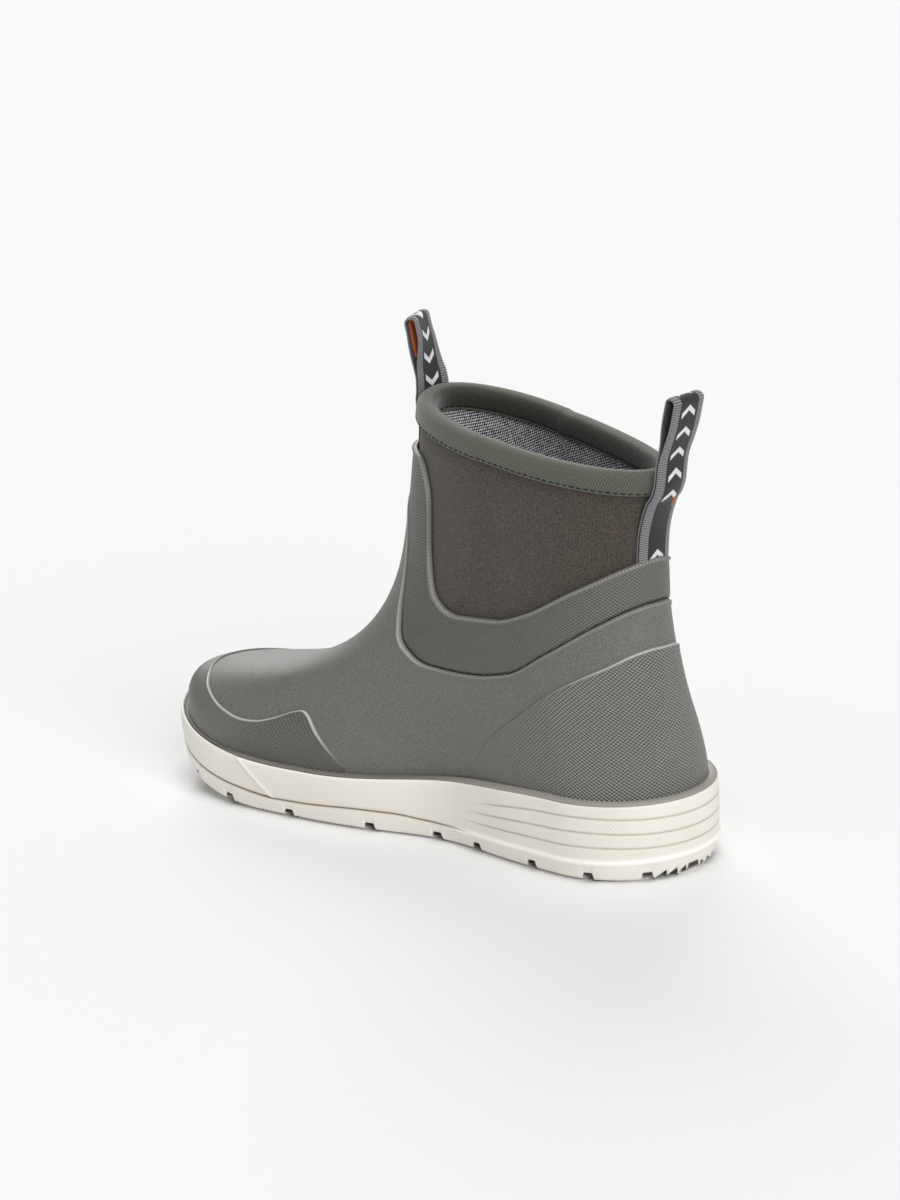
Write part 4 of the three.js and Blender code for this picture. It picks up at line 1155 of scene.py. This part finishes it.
def makeStrap(end, sizes):
    strap = straps[end]
    body = end + "_loop"
    up, down = sewnLine(strap, sizes, 1), sewnLine(strap, sizes, -1)
    line = [*up, *loopLine(strap, sizes, 0, 0.1), *down[::-1]]
    hinge = (hingePlaces[strap["hinge"]] - bootShift)[[0, 2]]
    curve = {
        "radius": sizes["backCurve"],
        "loose": 0.25,
        "levels": (hinge[1] - 4, hinge[1] + 14),
        "hinge": hinge,
        "lean": math.radians(sizes["lean"]) * strap["outward"],
        "twist": strap["twist"],
    }
    piece, faceCount, loopCount = ribbon(
        end + "PullLoop", line, strap["outward"], sizes["width"], sizes["wall"], sizes["step"], curve,
        sizes["rib"], sizes["ribPitch"], sizes["stripe"], strap["plain"],
    )
    piece.data.materials.append(finish["webbing"])
    piece.data.materials.append(finish["webbingBack"])
    column = np.arange(len(piece.data.polygons)) % loopCount
    under = (column >= faceCount + 1) & (column < 2 * faceCount)
    piece.data.polygons.foreach_set("material_index", under.astype(np.int32))
    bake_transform(piece)
    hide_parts(body + "_sewn", body + "_free")
    inward = sizes["wall"] / 2 + sizes["tapeGap"]
    tape = ribbon(
        end + "LoopTape", loopLine(strap, sizes, inward, sizes["tapeFrom"]), strap["outward"],
        strap["tapeWidth"], sizes["tapeWall"], sizes["tapeStep"], curve,
    )[0]
    finishPiece(tape, finish["orange"], body, [body + "_tape"])


makeStrap("back", strapSizes)
makeStrap("front", strapSizes)

# A loose orange thread tuft beside the back strap's bar tack
tuftSizes = {"pitch": 0.5, "radius": 0.42, "shape": (1.0, 1.0, 1.0)}


def makeTuft():
    hook = [(-3.4, -9.8), (-4.9, -9.5), (-5.5, -10.6), (-4.6, -11.8), (-4.3, -13.0), (-4.9, -14.0)]
    line = roundThrough(hook, False, 5)
    rise, y = line[:, 1], line[:, 0]
    base = collarPoint(np.zeros(len(line)), rise, np.interp(rise, [-14, -11.5, -7.6], [-1.3, -0.75, 0.75]))
    base[:, 1] = y
    base[:, 0] += y**2 / (2 * strapSizes["backCurve"])
    beadsOn("orangeThreadTuft", base, False, tuftSizes, finish["orange"], "boot")


makeTuft()
print("pull loops made")

# Sole unit
soleSizes = {
    "columns": 940,
    "lipWall": 1.7,
    "wall": 9,
    "welt": 2.4,
    "grooveDepth": 0.5,
    "grooveWidth": 0.45,
    "bead": 1.5,
    "notchDepth": 4.0,
    "notchWidth": 7.0,
    "seamGap": (0.02, 0.15),
    "heelFade": (98, 122),
    "facet": {"low": 216.0, "high": 237.5, "from": 9.5, "over": 18, "depth": 0.7, "bead": 0.45},
    "edgeLift": 1.1,
    "teeth": {"from": 5, "to": 23, "pitch": 6, "height": 2.8},
    "fineRibs": {"pitch": 2.4, "share": 0.45, "height": 0.35, "from": (165, 172), "to": (240, 246)},
}
soleSeam = curveThrough([
    (0, 10.6), (28, 9.9), (69, 9.8), (100, 9.4), (118, 9.1), (134, 9.7), (148, 10.8), (164, 10.9),
    (199, 9.2), (217, 8.8), (239, 10.9), (258, 14.1), (270, 17), (283, 21.5), (304, 31),
])
heelGrooves = [
    (101, curveThrough([(0, 30.2), (33, 31.4), (55, 30.6), (101, 25)])),
    (107, curveThrough([(0, 23.1), (30, 24.4), (55, 23.6), (107, 19.8)])),
    (110, curveThrough([(0, 16.4), (28, 17.4), (56, 16.9), (110, 14.9)])),
]
notchPlaces = [8, 31, 64, 101, 126, 161, 207, 245, 272]


def makeSidewall(sizes):
    u = np.linspace(-1, 1, sizes["columns"] + 1)[:-1]
    x = solePlan(u, 0 * u)[:, 0]
    low = soleSeam(x) + mix(*sizes["seamGap"], smoothStep(x, *sizes["heelFade"]))
    high = featherHeight(x) - 0.3
    share = np.concatenate([[0, 0.012, 0.03], np.linspace(0.05, 0.97, 56), [0.985, 0.995, 1.0]])
    z = mix(low[:, None], high[:, None], share)
    wide = x[:, None] + 0 * z
    inset = 0.9 * np.maximum(0, 1 - share / 0.6) ** 2 + 0.3 * np.maximum(0, (share - 0.6) / 0.4) ** 2
    inset = inset + 0 * z
    groove = 0 * z
    for reach, curve in heelGrooves:
        cut = bell(z, curve(wide), sizes["grooveWidth"]) * (1 - smoothStep(wide, reach - 22, reach + 2))
        groove = np.maximum(groove, cut)
    inset += sizes["grooveDepth"] * groove
    inset -= 0.45 * (1 - smoothStep(wide, 100, 118))
    # the toe facet: a crease that runs down and back from the top edge, hollow ahead of it
    facet = sizes["facet"]
    crease = mix(facet["low"], facet["high"], np.clip((z - facet["from"]) / facet["over"], 0, 1.3))
    reach = wide - crease
    inset += facet["depth"] * smoothStep(reach, 0, 4) * (1 - smoothStep(reach, 8, 55))
    inset -= facet["bead"] * bell(reach, -0.4, 1.3)
    forward = smoothStep(wide, *sizes["heelFade"])
    inset += 0.6 * forward * np.exp(-(z - low[:, None]) / 0.35) + 0.5 * np.exp(-(high[:, None] - z) / 0.22)
    inset -= 1.0 * (1 - forward) * bell(z, low[:, None], 1.0)
    outer = atHeight(solePlan(u[:, None] + 0 * z, inset), z)
    shelf = featherHeight(x) - sizes["welt"] - 0.6

    def rail(insetValue, height):
        return atHeight(solePlan(u, np.full_like(u, insetValue)), height)[:, None]

    rest = [
        rail(sizes["lipWall"] - 0.5, high),
        rail(sizes["lipWall"], high - 0.4),
        rail(sizes["lipWall"], shelf),
        rail(sizes["wall"], shelf),
        rail(sizes["wall"], low),
    ]
    points = np.concatenate([outer, *rest], 1)
    edgeLine = np.exp(-(z - low[:, None]) / 0.5) * smoothStep(wide, 100, 130)
    topLip = np.exp(-(high[:, None] - z) / 0.7) * smoothStep(wide, 90, 120)
    # painted highlight: the facet crease, the top lip and the heel bead painted near-white
    raisedHighlight = np.maximum(0.9 * bell(reach, -0.4, 1.0) * (z > low[:, None] + 1), 0.8 * topLip)
    raisedHighlight = np.maximum(raisedHighlight, (1 - forward) * bell(z, low[:, None], 1.2))
    pad = np.zeros((len(u), len(rest)))
    marks = {
        "groove": np.concatenate([np.maximum(0.6 * groove, 0.9 * edgeLine), pad], 1),
        "raisedHighlight": np.concatenate([raisedHighlight, pad], 1),
        "ribbed": np.concatenate([0 * z + 0.5 + 0.5 * (1 - smoothStep(wide, 100, 118)), pad], 1),
    }
    piece = gridMesh("midsoleSidewall", points, True, True, soleMap(u, points), marks, 55)
    finishPiece(piece, finish["sole"], "boot", ["midsole_sidewall"])


def soleMap(u, points):
    # own map in metres: the way round the sole, and the level
    uv = np.zeros((points.shape[0] + 1, points.shape[1] + 1, 2))
    uv[..., 0] = np.append(u, 1)[:, None] * soleLength / 1000
    uv[:-1, :-1, 1] = points[..., 2] / 1000
    uv[-1, :-1, 1] = points[0, :, 2] / 1000
    uv[:, -1, 1] = uv[:, 0, 1]
    return uv


def makeWelt(sizes):
    u = np.linspace(-1, 1, 521)[:-1]
    x = footPlan(u, 0 * u)[:, 0]
    heel = 1 - smoothStep(x, 95, 150)
    top = featherHeight(x)
    base = top - sizes["welt"] - 0.3
    edge = mix(1.95, 0.35, heel)

    def fromFoot(inset, z):
        return atHeight(footPlan(u, inset + 0 * u), z)[:, None]

    def fromSole(inset, z):
        return atHeight(solePlan(u, inset + 0 * u), z)[:, None]

    crown = mix(0.5, 1.5, heel)
    points = np.concatenate([
        fromFoot(3.0, base),
        fromFoot(3.0, top + 0.5),
        fromFoot(0.6, top + crown * 0.9),
        fromFoot(-0.2, top + crown),
        fromSole(edge + 1.1, top + crown * 0.75),
        fromSole(edge + 0.35, top + crown * 0.45),
        fromSole(edge, top + mix(0.0, 0.15, heel)),
        fromSole(edge, top - 0.25),
        fromSole(np.maximum(edge, 1.95), top - 0.28),
        fromSole(2.0, base),
    ], 1)
    ledge = np.repeat((0.25 + 0.55 * heel)[:, None], points.shape[1], 1)
    piece = gridMesh("weltStrip", points, True, True, None, {"ledge": ledge}, 60)
    finishPiece(piece, finish["welt"], "boot", ["welt_strip"])


def notchRise(x, edgeShare, places, sizes):
    # how far the ground face is lifted: cross channels bent forward in the middle
    bent = x - 5 * (1 - edgeShare) ** 2
    rise = 0 * x
    for place in places:
        slope = (sizes["notchWidth"] / 2 - np.abs(bent - place)) / 1.2
        rise = np.maximum(rise, sizes["notchDepth"] * np.clip(slope, 0, 1))
    return rise


def makeTread(sizes):
    k = np.linspace(0, 1, 761)
    way = k * soleLength
    edgeLift, tooth, ribs = sizes["edgeLift"], sizes["teeth"], sizes["fineRibs"]
    sides = []
    for side in (1, -1):
        x = solePlan(side * k, 0 * k)[:, 0]
        seam = soleSeam(x) - mix(*sizes["seamGap"], smoothStep(x, *sizes["heelFade"]))
        saw = 1 - np.mod((way - tooth["from"]) / tooth["pitch"], 1)
        teeth = edgeLift + tooth["height"] * saw * (way < tooth["to"]) * (way > tooth["from"])
        fine = ribs["height"] * (np.mod(x / ribs["pitch"], 1) < ribs["share"])
        fine = fine * smoothStep(x, *ribs["from"]) * (1 - smoothStep(x, *ribs["to"]))
        notches = notchRise(way, 1.0, np.append(np.interp(notchPlaces, x, way), 1.5), sizes)
        lift = np.maximum(np.maximum(notches, teeth), edgeLift + fine)
        bottom = groundHeight(x) + lift
        share = np.concatenate([[0, 0.03, 0.07], np.linspace(0.12, 0.92, 13), [0.97, 1.0]])
        z = mix(seam[:, None], bottom[:, None], share)
        heel = 1 - smoothStep(x, 104, 122)[:, None]
        inset = 0.75 + 1.9 * share**1.3 + 0.5 * bell(share, 1, 0.05)
        bead = sizes["bead"] * heel * bell(z, seam[:, None] - 0.5, 0.9)
        inset = inset + 0.7 * (1 - heel) * np.exp(-(seam[:, None] - z) / 0.35) - bead
        plan = solePlan((side * k)[:, None] + 0 * z, np.maximum(inset, -0.4) * (0 * z + 1))
        line = np.exp(-(seam[:, None] - z) / 0.35) * smoothStep(x, 100, 130)[:, None]
        # painted highlight along the heel bead
        raisedHighlight = heel * bell(z, seam[:, None], 1.6)
        # painted shade: ground edge of the notches and teeth painted near-black
        hollow = np.clip((lift - 1.4) / 1.2, 0, 1)[:, None] * (share == 1)
        sides.append((atHeight(plan, z), line, raisedHighlight, hollow, lift))
    medial, lateral = sides
    shares = np.linspace(0, 1, 25)[1:-1]
    floor = mix(medial[0][:, -1:], lateral[0][:, -1:], shares[:, None])
    edgeShare = np.abs(2 * shares - 1) + 0 * floor[..., 0]
    rise = notchRise(floor[..., 0], edgeShare, notchPlaces, sizes)
    edgeRise = np.where(shares < 0.5, medial[4][:, None], lateral[4][:, None]) - edgeLift
    rise = np.maximum(rise, edgeRise * smoothStep(edgeShare, 0.7, 0.9))
    floor[..., 2] = groundHeight(floor[..., 0]) + rise
    # painted shade: lifted floor of the notches and teeth painted near-black
    dark = np.clip(rise - 0.3, 0, 1)
    roof = mix(lateral[0][:, :1], medial[0][:, :1], np.linspace(0, 1, 7)[1:-1][:, None])
    points = np.concatenate([medial[0], floor, lateral[0][:, ::-1], roof], 1)
    zero = np.zeros(floor.shape[:2])
    marks = {
        "groove": np.concatenate([medial[1], zero, lateral[1][:, ::-1], 0 * roof[..., 0]], 1) * 0.8,
        "raisedHighlight": np.concatenate([medial[2], zero, lateral[2][:, ::-1], 0 * roof[..., 0]], 1),
        "hollow": np.concatenate([medial[3], dark, lateral[3][:, ::-1], 0 * roof[..., 0]], 1),
        "ribbed": np.zeros(points.shape[:2]),
    }
    uv = np.zeros((points.shape[0] + 1, points.shape[1] + 1, 2))
    uv[:-1, :-1] = points[..., :2] / 1000
    uv[:-1, -1] = uv[:-1, 0]
    piece = gridMesh("rubberTread", points, False, True, uv, marks, 48, True)
    finishPiece(piece, finish["sole"], "boot", ["outsole"])


footbedSizes = {"inset": 11.4, "wall": 4.5, "cup": 1.1, "round": 1.2}


def makeFootbed(sizes):
    k = np.linspace(0, 1, 261)
    rim = {side: footPlan(side * k, 0 * k + sizes["inset"]) for side in (1, -1)}
    shares = np.linspace(0, 1, 21)
    plan = mix(rim[1][:, None], rim[-1][:, None], shares[:, None])
    base = featherHeight(plan[..., 0])
    hollow = sizes["cup"] * np.sin(math.pi * shares) ** 0.7
    edge = sizes["round"] * (np.exp(-shares / 0.02) + np.exp(-(1 - shares) / 0.02))
    top = atHeight(plan, base + sizes["wall"] - hollow - edge)
    bottom = atHeight(plan[:, ::-1], base[:, ::-1] + 0.05)
    piece = gridMesh("footbed_foam", np.concatenate([top, bottom], 1), False, True, creases=60, weld=True)
    finishPiece(piece, finish["footbed"], "footbed", ["footbed"])


makeSidewall(soleSizes)
makeWelt(soleSizes)
makeTread(soleSizes)
makeFootbed(footbedSizes)
for node, key in (("midsole_core", "foam"), ("insole_board", "board"), ("shank", "steel")):
    frame["nodes"][node].data.materials.clear()
    frame["nodes"][node].data.materials.append(finish[key])
print("sole made")

# Studio: a pale floor under soft light
studioSizes = {
    "floor": 30,
    "world": 0.38,
    "lamps": {
        "overheadSoftbox": ((-0.1, 0.1, 1.0), 1.15, 38),
        "heelSideSoftbox": ((-1.0, 0.4, 0.62), 1.35, 40),
        "rimSoftbox": ((0.75, -0.65, 0.55), 1.15, 35),
    },
}


def makeStudio(sizes):
    half = sizes["floor"] / 2
    mesh = bpy.data.meshes.new("studioFloor")
    corners = [(-half, -half, 0), (half, -half, 0), (half, half, 0), (-half, half, 0)]
    mesh.from_pydata(corners, [], [(0, 1, 2, 3)])
    floor = bpy.data.objects.new("studioFloor", mesh)
    scene.collection.objects.link(floor)
    material, tree, shader = newMaterial("matteBackdrop", {"Roughness": 1.0, "Specular IOR Level": 0.0})
    place = addNode(tree, "ShaderNodeTexCoord", output="Object")
    tint = addNode(tree, "ShaderNodeTexNoise", None, {"Vector": place, "Scale": 1.1})
    paper = addNode(tree, "ShaderNodeMix", colours, {0: tint, 6: "#ebebeb", 7: "#ececec"}, 2)
    tree.links.new(paper, shader.inputs["Base Color"])
    mesh.materials.append(material)
    world = bpy.data.worlds.new("softWhite")
    world.use_nodes = True
    world.node_tree.nodes["Background"].inputs["Color"].default_value = fromHex("#ffffff")
    world.node_tree.nodes["Background"].inputs["Strength"].default_value = sizes["world"]
    scene.world = world
    for name, (place, strength, softness) in sizes["lamps"].items():
        data = bpy.data.lights.new(name, "SUN")
        data.energy = strength
        data.angle = math.radians(softness)
        lamp = bpy.data.objects.new(name, data)
        scene.collection.objects.link(lamp)
        lamp.rotation_euler = (-Vector(place)).to_track_quat("-Z", "Y").to_euler()
    scene.view_settings.view_transform = "Standard"


makeStudio(studioSizes)
print("studio made")
